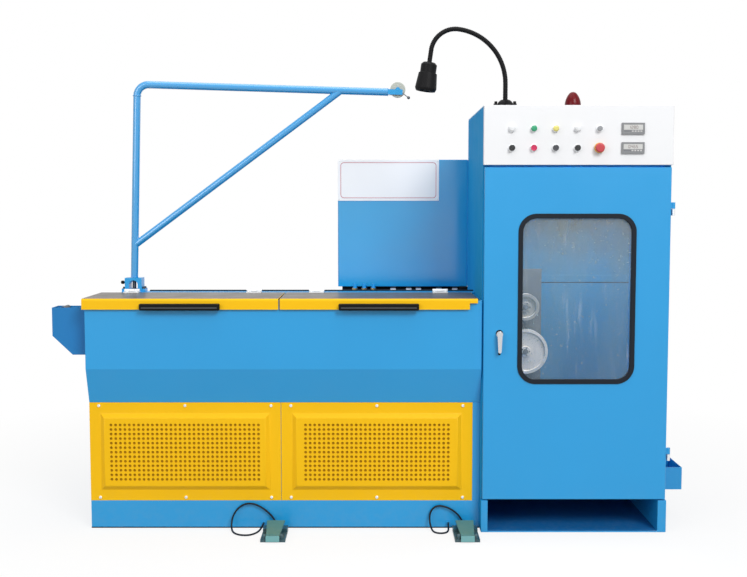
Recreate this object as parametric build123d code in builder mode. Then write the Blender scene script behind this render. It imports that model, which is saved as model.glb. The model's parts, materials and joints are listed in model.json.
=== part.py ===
from build123d import *
import os
from math import atan2, cos, degrees, pi, radians, sin, tan

# Wire drawing machine: a drawing bed with two lids, a motor housing behind it, a take-up
# cabinet, a wire guide arm, a work lamp, a beacon and two foot switches.
# Millimetres. X runs to the right along the machine, Y to the back, Z up from the floor.
# The origin lies on the floor, in the middle of the machine's length and depth.

os.makedirs("parts", exist_ok=True)

# Whole machine
bed_length = 1700.0
cabinet_width = 800.0
machine_depth = 1150.0
bed_left = -(bed_length + cabinet_width) / 2
bed_right = bed_left + bed_length
cabinet_left = bed_right
cabinet_right = cabinet_left + cabinet_width
front = -machine_depth / 2
rear = machine_depth / 2
moving_gap = 6.0
running_play = 0.05

# Drawing bed: skirt, vented bay, slanted tank front and tank
skirt_setback = 65.0
skirt_height = 123.0
vent_height = 433.0
slant_rise = 153.0
slant_overhang = 50.0
tank_face_height = 258.0
tank_depth = 335.0
bed_plate = 6.0
deck_drop = 22.0
skirt_face = front + skirt_setback
tank_face = skirt_face - slant_overhang
tank_back = tank_face + tank_depth
slant_foot = skirt_height + vent_height
slant_top = slant_foot + slant_rise
rim_height = slant_top + tank_face_height
deck_height = rim_height - deck_drop
slant_angle = atan2(slant_overhang, slant_rise)

# Vent panels: pressed sheet with a raised field, screwed to a post behind their seam
vent_sheet = 3.0
vent_seam = 2.0
vent_jamb_width = 33.0
field_margin = 47.0
field_slope = 20.0
field_rise = 15.0
post_width = 60.0
post_depth = 40.0
panel_back = skirt_face + vent_sheet

# Lids over the tank
lid_height = 47.0
lid_sheet = 3.0
lid_overhang_front = 13.0
lid_overhang_left = 9.0
lid_right_clearance = 19.0
lid_bend = 10.0
notch_width = 34.0
notch_height = 27.0
lid_top = rim_height + lid_height
lid_front = tank_face - lid_overhang_front
lid_back = tank_back - moving_gap
tank_rim = lid_top - lid_sheet - moving_gap

# Lid handles
handle_length = 342.0
handle_height = 28.0
handle_reach = 22.0
handle_wall = 4.0
handle_drop = 2.0
handle_round = 8.0

# Lid hinges
hinge_width = 70.0
hinge_inset = 140.0
leaf_sheet = 3.0
leaf_on_lid = 30.0
leaf_on_rail = 22.0
knuckle_radius = 7.0
hinge_pin_radius = 3.0
knuckle_gap = 1.0
knuckle_relief = 1.5
hinge_rise = 9.0
rail_depth = 90.0
rail_end_margin = 77.0
hinge_y = tank_back - moving_gap / 2
hinge_z = lid_top + hinge_rise

# Stepped drawing cones on shafts from the tank's back wall
cone_count = 4
cone_end_margin = 240.0
cone_steps = 6
cone_step_length = 26.0
cone_small_radius = 55.0
cone_step_growth = 12.0
cone_groove_lip = 4.0
cone_shaft_radius = 28.0
cone_standoff = 60.0
cone_rise = 234.0
cone_height = slant_foot + cone_rise

# Motor housing behind the cabinet's back plane, on feet over the rear deck
housing_width = 639.0
housing_setback = 735.0
housing_height = 623.0
housing_rear_margin = 20.0
housing_corner = 8.0
foot_height = 45.0
foot_size = 60.0
foot_margin = 20.0
sill_depth = 16.0

# Coolant valves in front of the housing
valve_count = 3
valve_pitch = 45.0
valve_inset = 84.0
valve_radius = 9.0
valve_height = 62.0
valve_setback = 700.0
valve_collar = 5.0
valve_collar_height = 10.0

# Wire inlet box on the left end
inlet_reach = 164.0
inlet_setback = 100.0
inlet_depth = 95.0
inlet_flat = 77.0
inlet_drop = 207.0
inlet_knee_drop = 124.0
inlet_sheet = 3.0

# Guide arm: a bent tube with a brace, swivelling in a bracket on the hinge rail
arm_inset = 130.0
arm_setback = 405.0
arm_tube_radius = 17.0
arm_lean = 1.75
bracket_width = 78.0
bracket_depth = 60.0
bracket_height = 64.0
bracket_foot_height = 14.0
bracket_foot_margin = 14.0
bracket_arch_width = 40.0
bracket_arch_straight = 19.0
pivot_radius = 9.0
pivot_floor = 5.0
pivot_end_gap = 1.0
arm_bar_height = 884.0
arm_bend = 52.0
arm_reach = 1190.0
brace_radius = 16.0
brace_foot = 150.0
brace_reach = 930.0
lock_knob_radius = 8.0
lock_knob_length = 15.0
lock_knob_round = 6.0
lock_stem_radius = 5.0
lock_stem_length = 24.0
lock_height = 42.0

# Wire sheave at the arm's end
sheave_radius = 35.0
sheave_width = 18.0
sheave_groove = 7.0
sheave_bore = 6.0
sheave_lift = 11.0
fork_cheek = 5.0
fork_gap = 5.0
fork_web = 5.0
fork_half_height = 12.0
fork_boss = 11.0
fork_tip = 22.0
keeper_radius = 2.0
keeper_length = 50.0
keeper_ball = 7.0
keeper_angle = -35.0

# Take-up cabinet
cabinet_depth = 735.0
cabinet_height = 1830.0
cabinet_sheet = 5.0
plinth_height = 140.0
plinth_left_leg = 29.0
plinth_right_leg = 37.0
plinth_sheet = 6.0
panel_height = 250.0
control_panel_sheet = 20.0
panel_corner = 4.0
flange_width = 25.0
cabinet_back = front + cabinet_depth
panel_bottom = cabinet_height - panel_height
floor_top = plinth_height + plinth_sheet

# Cabinet door with its window
door_thickness = 25.0
door_skin = 3.0
door_rim = 6.0
door_reveal = 5.0
door_top_gap = 10.0
door_corner = 5.0
window_width = 500.0
window_corner = 77.0
window_left = 150.0
window_rise = 502.0
window_top_margin = 195.0
gasket_width = 20.0
gasket_lap = 10.0
gasket_proud = 5.0
gasket_depth = 15.0
window_frame = 25.0
glass_thickness = 5.0
glass_inset = 4.0
glass_play = 0.1
door_left = cabinet_left + door_reveal
door_right = cabinet_right - door_reveal
door_bottom = plinth_height + moving_gap
window_bottom = door_bottom + window_rise
door_top = panel_bottom - door_top_gap
window_height = door_top - window_top_margin - window_bottom
door_back = front + door_thickness
frame_front = door_back + moving_gap

# Door hinges on the right edge
door_hinge_foot = 195.0
door_hinge_head = 175.0
door_hinge_length = 56.0
door_hinge_radius = 7.0
door_pin_radius = 4.0
door_hinge_inset = 10.0
door_hinge_strap = 60.0
door_hinge_x = cabinet_right + door_hinge_radius
door_hinge_y = front + door_hinge_inset
door_hinge_heights = (door_bottom + door_hinge_foot, door_top - door_hinge_head)

# Door handle lever
lever_inset = 73.0
lever_rise = 716.0
lever_head_radius = 11.0
lever_tip_radius = 7.0
lever_drop = 72.0
lever_thickness = 12.0
lever_standoff = 14.0
lever_spindle_radius = 6.0
lever_collar_radius = 14.0
lock_box_width = 46.0
lock_box_height = 70.0
lever_x = cabinet_left + lever_inset
lever_z = door_bottom + lever_rise

# Controls on the white panel
control_first = 118.0
control_pitch = 92.0
control_rows = (71.0, 152.0)
control_columns = 5
bezel_radius = 15.0
bezel_height = 5.0
bezel_chamfer = 1.5
cap_radius = 11.0
cap_height = 9.0
selector_bar = 7.0
selector_rise = 9.0
stop_radius = 19.5
stop_height = 12.0
stop_round = 6.0
stop_stem_radius = 12.0
stop_stem = 12.0
meter_x = 627.0
meter_width = 96.0
meter_height = 48.0
meter_proud = 9.0
meter_screen_margin = 8.0
meter_screen_depth = 2.0

# Work lamp on the cabinet's roof
lamp_inset = 96.0
lamp_setback = 60.0
lamp_flange_radius = 48.0
lamp_flange_height = 8.0
lamp_dome_height = 27.0
lamp_dome_radius = 17.0
lamp_dome_waist_radius = 29.0
lamp_dome_foot_radius = 34.0
neck_radius = 10.5
neck_rise = 68.0
neck_large_bend = 230.0
neck_large_turn = 82.7
neck_small_bend = 103.0
neck_small_turn = 89.3
neck_drop_length = 52.0
head_collar_radius = 34.0
head_collar_chamfer = 9.0
head_shoulder_radius = 39.0
head_collar_length = 45.0
head_cone_radius = 46.0
head_cone_length = 76.0
head_lip_length = 12.0
head_mouth_radius = 41.0
head_wall = 3.0
head_cavity = 60.0

# Beacon on the cabinet's roof
beacon_inset = 400.0
beacon_setback = 150.0
beacon_radius = 36.0
beacon_base_height = 10.0
beacon_height = 70.0
beacon_lip = 1.0
beacon_tip_radius = 22.0

# Sheaves on a column inside the cabinet
column_width = 220.0
column_inset = 329.0
column_height = 966.0
column_setback = 500.0
column_depth = 20.0
wheel_inset = 247.0
upper_wheel_rise = 792.0
lower_wheel_rise = 583.0
upper_wheel_radius = 62.5
lower_wheel_radius = 105.0
wheel_width = 30.0
wheel_standoff = 40.0
wheel_axle_radius = 12.0
axle_shoulder_radius = 20.0
axle_end = 8.0
wheel_side_gap = 1.0
wheel_hub_radius = 24.0
wheel_dish = 10.0
wheel_rim = 14.0
wheel_groove = 6.0

# Tray on the cabinet's right side
tray_reach = 123.0
tray_setback = 200.0
tray_depth = 200.0
tray_bottom = 135.0
tray_height = 101.0
tray_sheet = 3.0

# Foot switches on the floor in front of the bed
pedal_left_inset = 813.0
pedal_right_inset = 1631.0
pedal_front = -139.0
pedal_length = 161.0
pedal_width = 105.0
pedal_plate = 12.0
pedal_switch_length = 50.0
pedal_switch_height = 24.0
pedal_cheek = 10.0
pedal_pivot_inset = 12.0
pedal_pivot_height = 24.0
pedal_pin_radius = 4.0
pedal_lug_radius = 9.0
treadle_front_width = 57.0
treadle_back_width = 78.0
treadle_thickness = 7.0
treadle_back_height = 40.0
treadle_nose = 24.0
apron_sheet = 6.0
apron_foot = 5.0
gland_radius = 8.0
gland_length = 8.0
cord_radius = 4.0
floor_gland_height = 24.0
left_cord_shift = 57.0
right_cord_shift = 68.0
cord_corner_share = 0.45


def save(piece, name):
    """Label a finished piece and write its STEP file."""
    piece.part.label = name
    export_step(piece.part, f"parts/{name}.step")


def block(x, y, z, mode=Mode.ADD):
    """Put a plain block between two limits along each axis into the open part."""
    with BuildSketch(Plane.XY.offset(z[0])) as outline:
        with Locations(((x[0] + x[1]) / 2, (y[0] + y[1]) / 2)):
            Rectangle(x[1] - x[0], y[1] - y[0])
    extrude(outline.sketch, amount=z[1] - z[0], mode=mode)


def rod_x(x, y, z, radius, mode=Mode.ADD):
    """Put a round bar along X, between two limits, into the open part."""
    with BuildSketch(Plane.YZ.offset(x[0])) as outline:
        with Locations((y, z)):
            Circle(radius)
    extrude(outline.sketch, amount=x[1] - x[0], mode=mode)


def rod_y(x, y, z, radius, mode=Mode.ADD):
    """Put a round bar along Y, between two limits, into the open part."""
    with BuildSketch(Plane.XZ.offset(-y[1])) as outline:
        with Locations((x, z)):
            Circle(radius)
    extrude(outline.sketch, amount=y[1] - y[0], mode=mode)


def rod_z(x, y, z, radius, mode=Mode.ADD):
    """Put a round bar along Z, between two limits, into the open part."""
    with BuildSketch(Plane.XY.offset(z[0])) as outline:
        with Locations((x, y)):
            Circle(radius)
    extrude(outline.sketch, amount=z[1] - z[0], mode=mode)


# Bed: skirt, closed rear case and end walls

with BuildPart() as bed_base:
    block((bed_left, bed_right), (skirt_face, rear), (0, skirt_height))
save(bed_base, "bed_base")

with BuildPart() as bed_rear_case:
    block((bed_left, bed_right), (tank_back, rear), (skirt_height, deck_height))
save(bed_rear_case, "bed_rear_case")

slant_inner_foot = skirt_face + bed_plate / cos(slant_angle)
slant_inner_top = slant_top + bed_plate * tan(slant_angle / 2)
tank_inner_face = tank_face + bed_plate

with BuildPart() as bed_side_walls:
    for wall_x in (bed_left, bed_right - bed_plate):
        with BuildSketch(Plane.YZ.offset(wall_x)):
            with BuildLine():
                Polyline(
                    (panel_back, skirt_height),
                    (panel_back, slant_foot),
                    (slant_inner_foot, slant_foot),
                    (tank_inner_face, slant_inner_top),
                    (tank_inner_face, tank_rim),
                    (tank_back, tank_rim),
                    (tank_back, skirt_height),
                    close=True,
                )
            make_face()
        extrude(amount=bed_plate)
save(bed_side_walls, "bed_side_walls")

with BuildPart() as tank_front:
    with BuildSketch(Plane.YZ.offset(bed_left)):
        with BuildLine():
            Polyline(
                (skirt_face, slant_foot),
                (tank_face, slant_top),
                (tank_face, tank_rim),
                (tank_inner_face, tank_rim),
                (tank_inner_face, slant_inner_top),
                (slant_inner_foot, slant_foot),
                close=True,
            )
        make_face()
    extrude(amount=bed_length)
save(tank_front, "tank_front")

inner_left = bed_left + bed_plate
inner_right = bed_right - bed_plate

with BuildPart() as tank_floor:
    block((inner_left, inner_right), (slant_inner_foot, tank_back), (slant_foot, slant_foot + bed_plate))
save(tank_floor, "tank_floor")

vent_right = bed_right - vent_jamb_width
vent_middle = (bed_left + vent_right) / 2

with BuildPart() as bed_front_posts:
    block(
        (vent_middle - post_width / 2, vent_middle + post_width / 2),
        (panel_back, panel_back + post_depth),
        (skirt_height, slant_foot),
    )
    block((vent_right, bed_right), (skirt_face, panel_back), (skirt_height, slant_foot))
save(bed_front_posts, "bed_front_posts")

with BuildPart() as hinge_rail:
    block((bed_left + rail_end_margin, bed_right), (tank_back, tank_back + rail_depth), (deck_height, lid_top))
save(hinge_rail, "hinge_rail")


# Vent panels


def vent_panel(left, right):
    """Make one pressed vent panel with a raised field that is hollow behind."""
    middle = ((left + right) / 2, (skirt_height + slant_foot) / 2)
    field_width = right - left - 2 * field_margin
    field_height = vent_height - 2 * field_margin
    with BuildPart() as panel:
        block((left, right), (skirt_face, panel_back), (skirt_height, slant_foot))
        for face_y, shrink, mode in ((skirt_face, 0, Mode.ADD), (panel_back, vent_sheet, Mode.SUBTRACT)):
            with BuildSketch(Plane.XZ.offset(-face_y)):
                with Locations(middle):
                    Rectangle(field_width - 2 * shrink, field_height - 2 * shrink)
            with BuildSketch(Plane.XZ.offset(field_rise - face_y)):
                with Locations(middle):
                    Rectangle(
                        field_width - 2 * (shrink + field_slope),
                        field_height - 2 * (shrink + field_slope),
                    )
            loft(mode=mode)
    return panel


left_vent_panel = vent_panel(bed_left, vent_middle - vent_seam / 2)
save(left_vent_panel, "left_vent_panel")
right_vent_panel = vent_panel(vent_middle + vent_seam / 2, vent_right)
save(right_vent_panel, "right_vent_panel")


# Lids, their handles and their hinges

lid_seam_left = vent_middle - moving_gap / 2
lid_spans = {
    "left": (bed_left - lid_overhang_left, lid_seam_left),
    "right": (lid_seam_left + moving_gap, bed_right - lid_right_clearance),
}


def lid_shell(left, right, end_lip):
    """Make one lid: a folded sheet with a rolled front edge and, where asked, a lip on its left end."""
    with BuildPart() as shell:
        block((left, right), (lid_front, lid_back), (rim_height, lid_top))
        fillet(shell.edges().filter_by(Axis.X).group_by(Axis.Z)[-1].sort_by(Axis.Y)[0], lid_bend)
        sides = shell.faces().sort_by(Axis.X)
        open_faces = [shell.faces().sort_by(Axis.Z)[0], shell.faces().sort_by(Axis.Y)[-1], sides[-1]]
        if not end_lip:
            open_faces.append(sides[0])
        offset(amount=-lid_sheet, openings=open_faces)
    return shell


def lid_handle(middle):
    """Make one grip strip on a lid's front, hollow below for the fingers."""
    span = (middle - handle_length / 2, middle + handle_length / 2)
    reach = (lid_front - handle_reach, lid_front)
    foot = rim_height - handle_drop
    with BuildPart() as grip:
        block(span, reach, (foot, foot + handle_height))
        fillet(grip.edges().filter_by(Axis.Z).group_by(Axis.Y)[0], handle_round)
        fillet(grip.faces().sort_by(Axis.Z)[-1].edges().sort_by(Axis.Y)[0], handle_wall)
        block(
            (span[0] + handle_round, span[1] - handle_round),
            (reach[0] + handle_wall, reach[1]),
            (foot, foot + handle_height - handle_wall),
            Mode.SUBTRACT,
        )
    return grip


def hinge_spans(x):
    """Split a hinge's width into its three knuckles.

    Returns the left, middle and right spans along X.
    """
    third = hinge_width / 3
    start = x - hinge_width / 2
    return [
        (start + third * i + knuckle_gap / 2, start + third * (i + 1) - knuckle_gap / 2)
        for i in range(3)
    ]


def moving_leaf(x):
    """Put one lid leaf with two outer knuckles into the open part."""
    left_span, middle_span, right_span = hinge_spans(x)
    block(
        (left_span[0], right_span[1]),
        (hinge_y - leaf_on_lid, hinge_y),
        (lid_top, lid_top + leaf_sheet),
    )
    clear = (middle_span[0] - knuckle_gap, middle_span[1] + knuckle_gap)
    rod_x(clear, hinge_y, hinge_z, knuckle_radius + knuckle_relief, Mode.SUBTRACT)
    for span in (left_span, right_span):
        rod_x(span, hinge_y, hinge_z, knuckle_radius)
    rod_x((left_span[0], right_span[1]), hinge_y, hinge_z, hinge_pin_radius + running_play, Mode.SUBTRACT)


def fixed_leaf(x):
    """Put one rail leaf with its middle knuckle and the pin into the open part."""
    left_span, middle_span, right_span = hinge_spans(x)
    block(
        (left_span[0], right_span[1]),
        (tank_back, hinge_y + leaf_on_rail),
        (lid_top, lid_top + leaf_sheet),
    )
    block(middle_span, (hinge_y, tank_back), (lid_top, lid_top + leaf_sheet))
    for span in (left_span, right_span):
        clear = (span[0] - knuckle_gap, span[1] + knuckle_gap)
        rod_x(clear, hinge_y, hinge_z, knuckle_radius + knuckle_relief, Mode.SUBTRACT)
    rod_x(middle_span, hinge_y, hinge_z, knuckle_radius)
    rod_x((left_span[0], right_span[1]), hinge_y, hinge_z, hinge_pin_radius)


left_lid = lid_shell(*lid_spans["left"], end_lip=True)
save(left_lid, "left_lid")

with BuildPart() as right_lid:
    add(lid_shell(*lid_spans["right"], end_lip=False).part)
    notch_right = lid_spans["right"][1]
    block(
        (notch_right - notch_width, notch_right),
        (lid_front, tank_inner_face),
        (rim_height, rim_height + notch_height),
        Mode.SUBTRACT,
    )
save(right_lid, "right_lid")

for side, span in lid_spans.items():
    handle = lid_handle((span[0] + span[1]) / 2)
    save(handle, f"{side}_lid_handle")
    with BuildPart() as leaves:
        moving_leaf(span[0] + hinge_inset)
        moving_leaf(span[1] - hinge_inset)
    save(leaves, f"{side}_lid_leaves")

with BuildPart() as lid_hinge_pins:
    for span in lid_spans.values():
        fixed_leaf(span[0] + hinge_inset)
        fixed_leaf(span[1] - hinge_inset)
save(lid_hinge_pins, "lid_hinge_pins")


# Stepped drawing cones in the tank

cone_pitch = (bed_length - 2 * cone_end_margin) / (cone_count - 1)
cone_length = cone_steps * cone_step_length
cone_back = tank_back - cone_standoff

with BuildPart() as drawing_cones:
    for i in range(cone_count):
        cone_x = bed_left + cone_end_margin + i * cone_pitch
        axis = Axis((cone_x, 0, cone_height), (0, 1, 0))
        with BuildSketch(Plane.XY.offset(cone_height)):
            with BuildLine():
                Polyline(
                    (cone_x, tank_back),
                    (cone_x + cone_shaft_radius, tank_back),
                    (cone_x + cone_shaft_radius, cone_back - cone_length),
                    (cone_x, cone_back - cone_length),
                    close=True,
                )
            make_face()
            for step in range(cone_steps):
                radius = cone_small_radius + cone_step_growth * step
                step_y = cone_back - cone_length + cone_step_length * (step + 0.5)
                with Locations((cone_x + radius / 2, step_y)):
                    Rectangle(radius, cone_step_length)
                lip_y = step_y + cone_step_length / 2 - cone_groove_lip / 2
                with Locations((cone_x + (radius + cone_groove_lip) / 2, lip_y)):
                    Rectangle(radius + cone_groove_lip, cone_groove_lip)
        revolve(axis=axis)
save(drawing_cones, "drawing_cones")


# Motor housing on feet, and the valves in front of it

housing_left = bed_right - housing_width
housing_front = front + housing_setback
housing_back = rear - housing_rear_margin
housing_bottom = rim_height + foot_height

with BuildPart() as motor_housing:
    block(
        (housing_left, bed_right),
        (housing_front, housing_back),
        (housing_bottom, housing_bottom + housing_height),
    )
    fillet(motor_housing.edges().filter_by(Axis.Z), housing_corner)
save(motor_housing, "motor_housing")

feet_left = housing_left + foot_margin
feet_right = bed_right - foot_margin

with BuildPart() as housing_feet:
    for foot_y in (housing_front + foot_margin, housing_back - foot_margin - foot_size):
        sill_back = foot_y + foot_size
        block((feet_left, feet_right), (sill_back - sill_depth, sill_back), (deck_height, housing_bottom))
        for foot_x in (feet_left, feet_right - foot_size):
            block((foot_x, foot_x + foot_size), (foot_y, sill_back), (deck_height, housing_bottom))
save(housing_feet, "housing_feet")

with BuildPart() as coolant_valves:
    for i in range(valve_count):
        valve_x = housing_left + valve_inset + i * valve_pitch
        valve_y = front + valve_setback
        rod_z(valve_x, valve_y, (deck_height, rim_height + valve_height), valve_radius)
        collar_z = rim_height + valve_height / 2
        rod_z(valve_x, valve_y, (collar_z, collar_z + valve_collar_height), valve_radius + valve_collar)
save(coolant_valves, "coolant_valves")


# Wire inlet box on the left end

inlet_left = bed_left - inlet_reach
inlet_bottom = rim_height - inlet_drop
inlet_knee = rim_height - inlet_knee_drop
inlet_back = front + inlet_setback + inlet_depth

with BuildPart() as wire_inlet_box:
    with BuildSketch(Plane.XZ.offset(-inlet_back)):
        with BuildLine():
            Polyline(
                (bed_left, rim_height),
                (inlet_left, rim_height),
                (inlet_left, inlet_knee),
                (bed_left - inlet_flat, inlet_bottom),
                (bed_left, inlet_bottom),
                close=True,
            )
        make_face()
    extrude(amount=inlet_depth)
    offset(
        amount=-inlet_sheet,
        openings=[
            wire_inlet_box.faces().sort_by(Axis.Z)[-1],
            wire_inlet_box.faces().sort_by(Axis.X)[-1],
        ],
    )
save(wire_inlet_box, "wire_inlet_box")


# Guide arm, in a plane that leans to the right with the arm

arm_x = bed_left + arm_inset
arm_y = front + arm_setback
bracket_top = lid_top + bracket_height
pivot_length = bracket_height - pivot_floor
lean = radians(arm_lean)
arm_plane = Plane(
    origin=(arm_x, arm_y, bracket_top),
    x_dir=(cos(lean), 0, -sin(lean)),
    z_dir=(0, -1, 0),
)
post_axis = Plane(origin=arm_plane.origin, x_dir=arm_plane.x_dir, z_dir=arm_plane.y_dir)


def on_arm(along, up):
    """Give the machine position of a point in the arm's plane."""
    return arm_plane.from_local_coords((along, up, 0))


with BuildPart() as arm_bracket:
    block(
        (arm_x - bracket_width / 2 - bracket_foot_margin, arm_x + bracket_width / 2 + bracket_foot_margin),
        (arm_y - bracket_depth / 2, arm_y + bracket_depth / 2),
        (lid_top, lid_top + bracket_foot_height),
    )
    block(
        (arm_x - bracket_width / 2, arm_x + bracket_width / 2),
        (arm_y - bracket_depth / 2, arm_y + bracket_depth / 2),
        (lid_top + bracket_foot_height, bracket_top),
    )
    with BuildSketch(Plane.XZ.offset(bracket_depth / 2 - arm_y)):
        arch_foot = lid_top + bracket_foot_height
        with Locations((arm_x, arch_foot + bracket_arch_straight / 2)):
            Rectangle(bracket_arch_width, bracket_arch_straight)
        with Locations((arm_x, arch_foot + bracket_arch_straight)):
            Circle(bracket_arch_width / 2)
    extrude(amount=-bracket_depth, mode=Mode.SUBTRACT)
    with BuildSketch(post_axis.offset(arm_tube_radius)):
        Circle(pivot_radius + running_play)
    extrude(amount=-arm_tube_radius - pivot_length, mode=Mode.SUBTRACT)
save(arm_bracket, "arm_bracket")

knob_z = lid_top + lock_height
knob_root = arm_x - bracket_width / 2

with BuildPart() as arm_lock_knob:
    rod_x((knob_root - lock_stem_length, knob_root), arm_y, knob_z, lock_stem_radius)
    knob_end = knob_root - lock_stem_length
    rod_x((knob_end, knob_end + lock_knob_length), arm_y, knob_z, lock_knob_radius)
    fillet(arm_lock_knob.edges().sort_by(Axis.X)[0], lock_knob_round)
save(arm_lock_knob, "arm_lock_knob")

bend_foot = arm_bar_height - arm_bend
seat_gap = arm_tube_radius * sin(lean) + running_play
arm_bar_length = arm_reach - sheave_radius - fork_gap - fork_web

with BuildPart() as arm_post:
    with BuildSketch(post_axis.offset(seat_gap)):
        Circle(arm_tube_radius)
    extrude(amount=bend_foot - seat_gap)
    with BuildSketch(post_axis.offset(seat_gap)):
        Circle(pivot_radius)
    extrude(amount=-(pivot_length - pivot_end_gap + seat_gap))
save(arm_post, "arm_post")

with BuildPart() as arm_bar:
    with BuildLine(arm_plane):
        JernArc((0, bend_foot), (0, 1), arm_bend, -90)
        Line((arm_bend, arm_bar_height), (arm_bar_length, arm_bar_height))
    with BuildSketch(post_axis.offset(bend_foot)):
        Circle(arm_tube_radius)
    sweep()
save(arm_bar, "arm_bar")

brace_top = arm_bar_height
brace_start = on_arm(0, brace_foot)
brace_end = on_arm(brace_reach, brace_top)
brace_plane = Plane(origin=brace_start, z_dir=brace_end - brace_start)

with BuildPart() as arm_brace:
    with BuildSketch(brace_plane):
        Circle(brace_radius)
    extrude(amount=(brace_end - brace_start).length)
    with BuildSketch(post_axis):
        Circle(arm_tube_radius + running_play)
    extrude(amount=arm_bar_height, mode=Mode.SUBTRACT)
    with BuildSketch(Plane(origin=on_arm(0, arm_bar_height), z_dir=arm_plane.x_dir)):
        Circle(arm_tube_radius + running_play)
    extrude(amount=arm_bar_length, mode=Mode.SUBTRACT)
save(arm_brace, "arm_brace")

sheave_along = arm_reach
sheave_up = arm_bar_height + sheave_lift
sheave_at = on_arm(sheave_along, sheave_up)
fork_inner = sheave_width / 2 + fork_gap
fork_outer = fork_inner + fork_cheek
fork_end = sheave_along + fork_tip

keeper_way = radians(keeper_angle)
keeper_dir = arm_plane.x_dir * cos(keeper_way) + arm_plane.y_dir * sin(keeper_way)
keeper_root = sheave_at + keeper_dir * fork_boss + arm_plane.z_dir * (fork_inner + fork_cheek / 2)
keeper_plane = Plane(origin=keeper_root, z_dir=keeper_dir)

with BuildPart() as arm_fork:
    with BuildSketch(arm_plane.offset(-fork_outer)):
        with Locations((sheave_along, sheave_up)):
            Circle(fork_boss)
        with Locations(((arm_bar_length + fork_end) / 2, arm_bar_height)):
            Rectangle(fork_end - arm_bar_length, 2 * fork_half_height)
    extrude(amount=2 * fork_outer)
    with BuildSketch(arm_plane.offset(-fork_inner)):
        with Locations((sheave_along, sheave_up)):
            Circle(sheave_radius + fork_gap)
        with Locations((sheave_along + sheave_radius, sheave_up)):
            Rectangle(2 * sheave_radius, 2 * (sheave_radius + fork_gap))
    extrude(amount=2 * fork_inner, mode=Mode.SUBTRACT)
    with BuildSketch(arm_plane.offset(-fork_outer)):
        with Locations((sheave_along, sheave_up)):
            Circle(sheave_bore)
    extrude(amount=2 * fork_outer)
    with BuildSketch(keeper_plane):
        Circle(keeper_radius)
    extrude(amount=keeper_length)
    with Locations(keeper_plane.from_local_coords((0, 0, keeper_length))):
        Sphere(keeper_ball)
save(arm_fork, "arm_fork")

wheel_plane = Plane(origin=sheave_at, x_dir=arm_plane.x_dir, z_dir=arm_plane.y_dir)

with BuildPart() as arm_sheave:
    with BuildSketch(wheel_plane):
        with BuildLine():
            Polyline(
                (sheave_bore + running_play, -sheave_width / 2),
                (sheave_radius, -sheave_width / 2),
                (sheave_radius - sheave_groove, 0),
                (sheave_radius, sheave_width / 2),
                (sheave_bore + running_play, sheave_width / 2),
                close=True,
            )
        make_face()
    revolve(axis=Axis(sheave_at, arm_plane.z_dir))
save(arm_sheave, "arm_sheave")


# Take-up cabinet: plinth, floor, walls, roof and head floor

with BuildPart() as cabinet_plinth:
    block((cabinet_left, cabinet_right), (front, cabinet_back), (0, plinth_height))
    block(
        (cabinet_left + plinth_left_leg, cabinet_right - plinth_right_leg),
        (front, cabinet_back - plinth_sheet),
        (plinth_sheet, plinth_height),
        Mode.SUBTRACT,
    )
save(cabinet_plinth, "cabinet_plinth")

with BuildPart() as cabinet_floor:
    block((cabinet_left, cabinet_right), (frame_front, cabinet_back), (plinth_height, floor_top))
save(cabinet_floor, "cabinet_floor")

panel_back_y = front + control_panel_sheet
roof_bottom = cabinet_height - cabinet_sheet
wall_inner_left = cabinet_left + cabinet_sheet
wall_inner_right = cabinet_right - cabinet_sheet
wall_inner_back = cabinet_back - cabinet_sheet

with BuildPart() as cabinet_side_walls:
    for wall_x, flange_x in (
        (cabinet_left, wall_inner_left),
        (wall_inner_right, wall_inner_right - flange_width),
    ):
        with BuildSketch(Plane.YZ.offset(wall_x)):
            with BuildLine():
                Polyline(
                    (frame_front, floor_top),
                    (frame_front, panel_bottom),
                    (panel_back_y, panel_bottom),
                    (panel_back_y, roof_bottom),
                    (cabinet_back, roof_bottom),
                    (cabinet_back, floor_top),
                    close=True,
                )
            make_face()
        extrude(amount=cabinet_sheet)
        block(
            (flange_x, flange_x + flange_width),
            (frame_front, frame_front + cabinet_sheet),
            (floor_top, panel_bottom - cabinet_sheet),
        )
save(cabinet_side_walls, "cabinet_side_walls")

with BuildPart() as cabinet_back_wall:
    block((wall_inner_left, wall_inner_right), (wall_inner_back, cabinet_back), (floor_top, roof_bottom))
save(cabinet_back_wall, "cabinet_back_wall")

with BuildPart() as cabinet_roof:
    block((cabinet_left, cabinet_right), (panel_back_y, cabinet_back), (roof_bottom, cabinet_height))
save(cabinet_roof, "cabinet_roof")

with BuildPart() as head_floor:
    block(
        (wall_inner_left, wall_inner_right),
        (panel_back_y, wall_inner_back),
        (panel_bottom - cabinet_sheet, panel_bottom),
    )
save(head_floor, "head_floor")

with BuildPart() as control_panel:
    block((cabinet_left, cabinet_right), (front, panel_back_y), (panel_bottom, cabinet_height))
    fillet(control_panel.edges().filter_by(Axis.Z).group_by(Axis.Y)[0], panel_corner)
save(control_panel, "control_panel")


# Controls, stop button and meters on the panel

control_spots = [
    (cabinet_left + control_first + control_pitch * column, panel_bottom + row)
    for row in control_rows
    for column in range(control_columns)
]
stop_spot = control_spots[control_columns - 1]
selector_spots = (control_spots[0], control_spots[control_columns - 2])
plain_spots = [spot for spot in control_spots if spot != stop_spot]

with BuildPart() as control_bezels:
    for spot_x, spot_z in control_spots:
        rod_y(spot_x, (front - bezel_height, front), spot_z, bezel_radius)
    chamfer(control_bezels.faces().filter_by(Axis.Y).group_by(Axis.Y)[0].edges(), bezel_chamfer)
save(control_bezels, "control_bezels")

cap_face = front - bezel_height - cap_height

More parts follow.
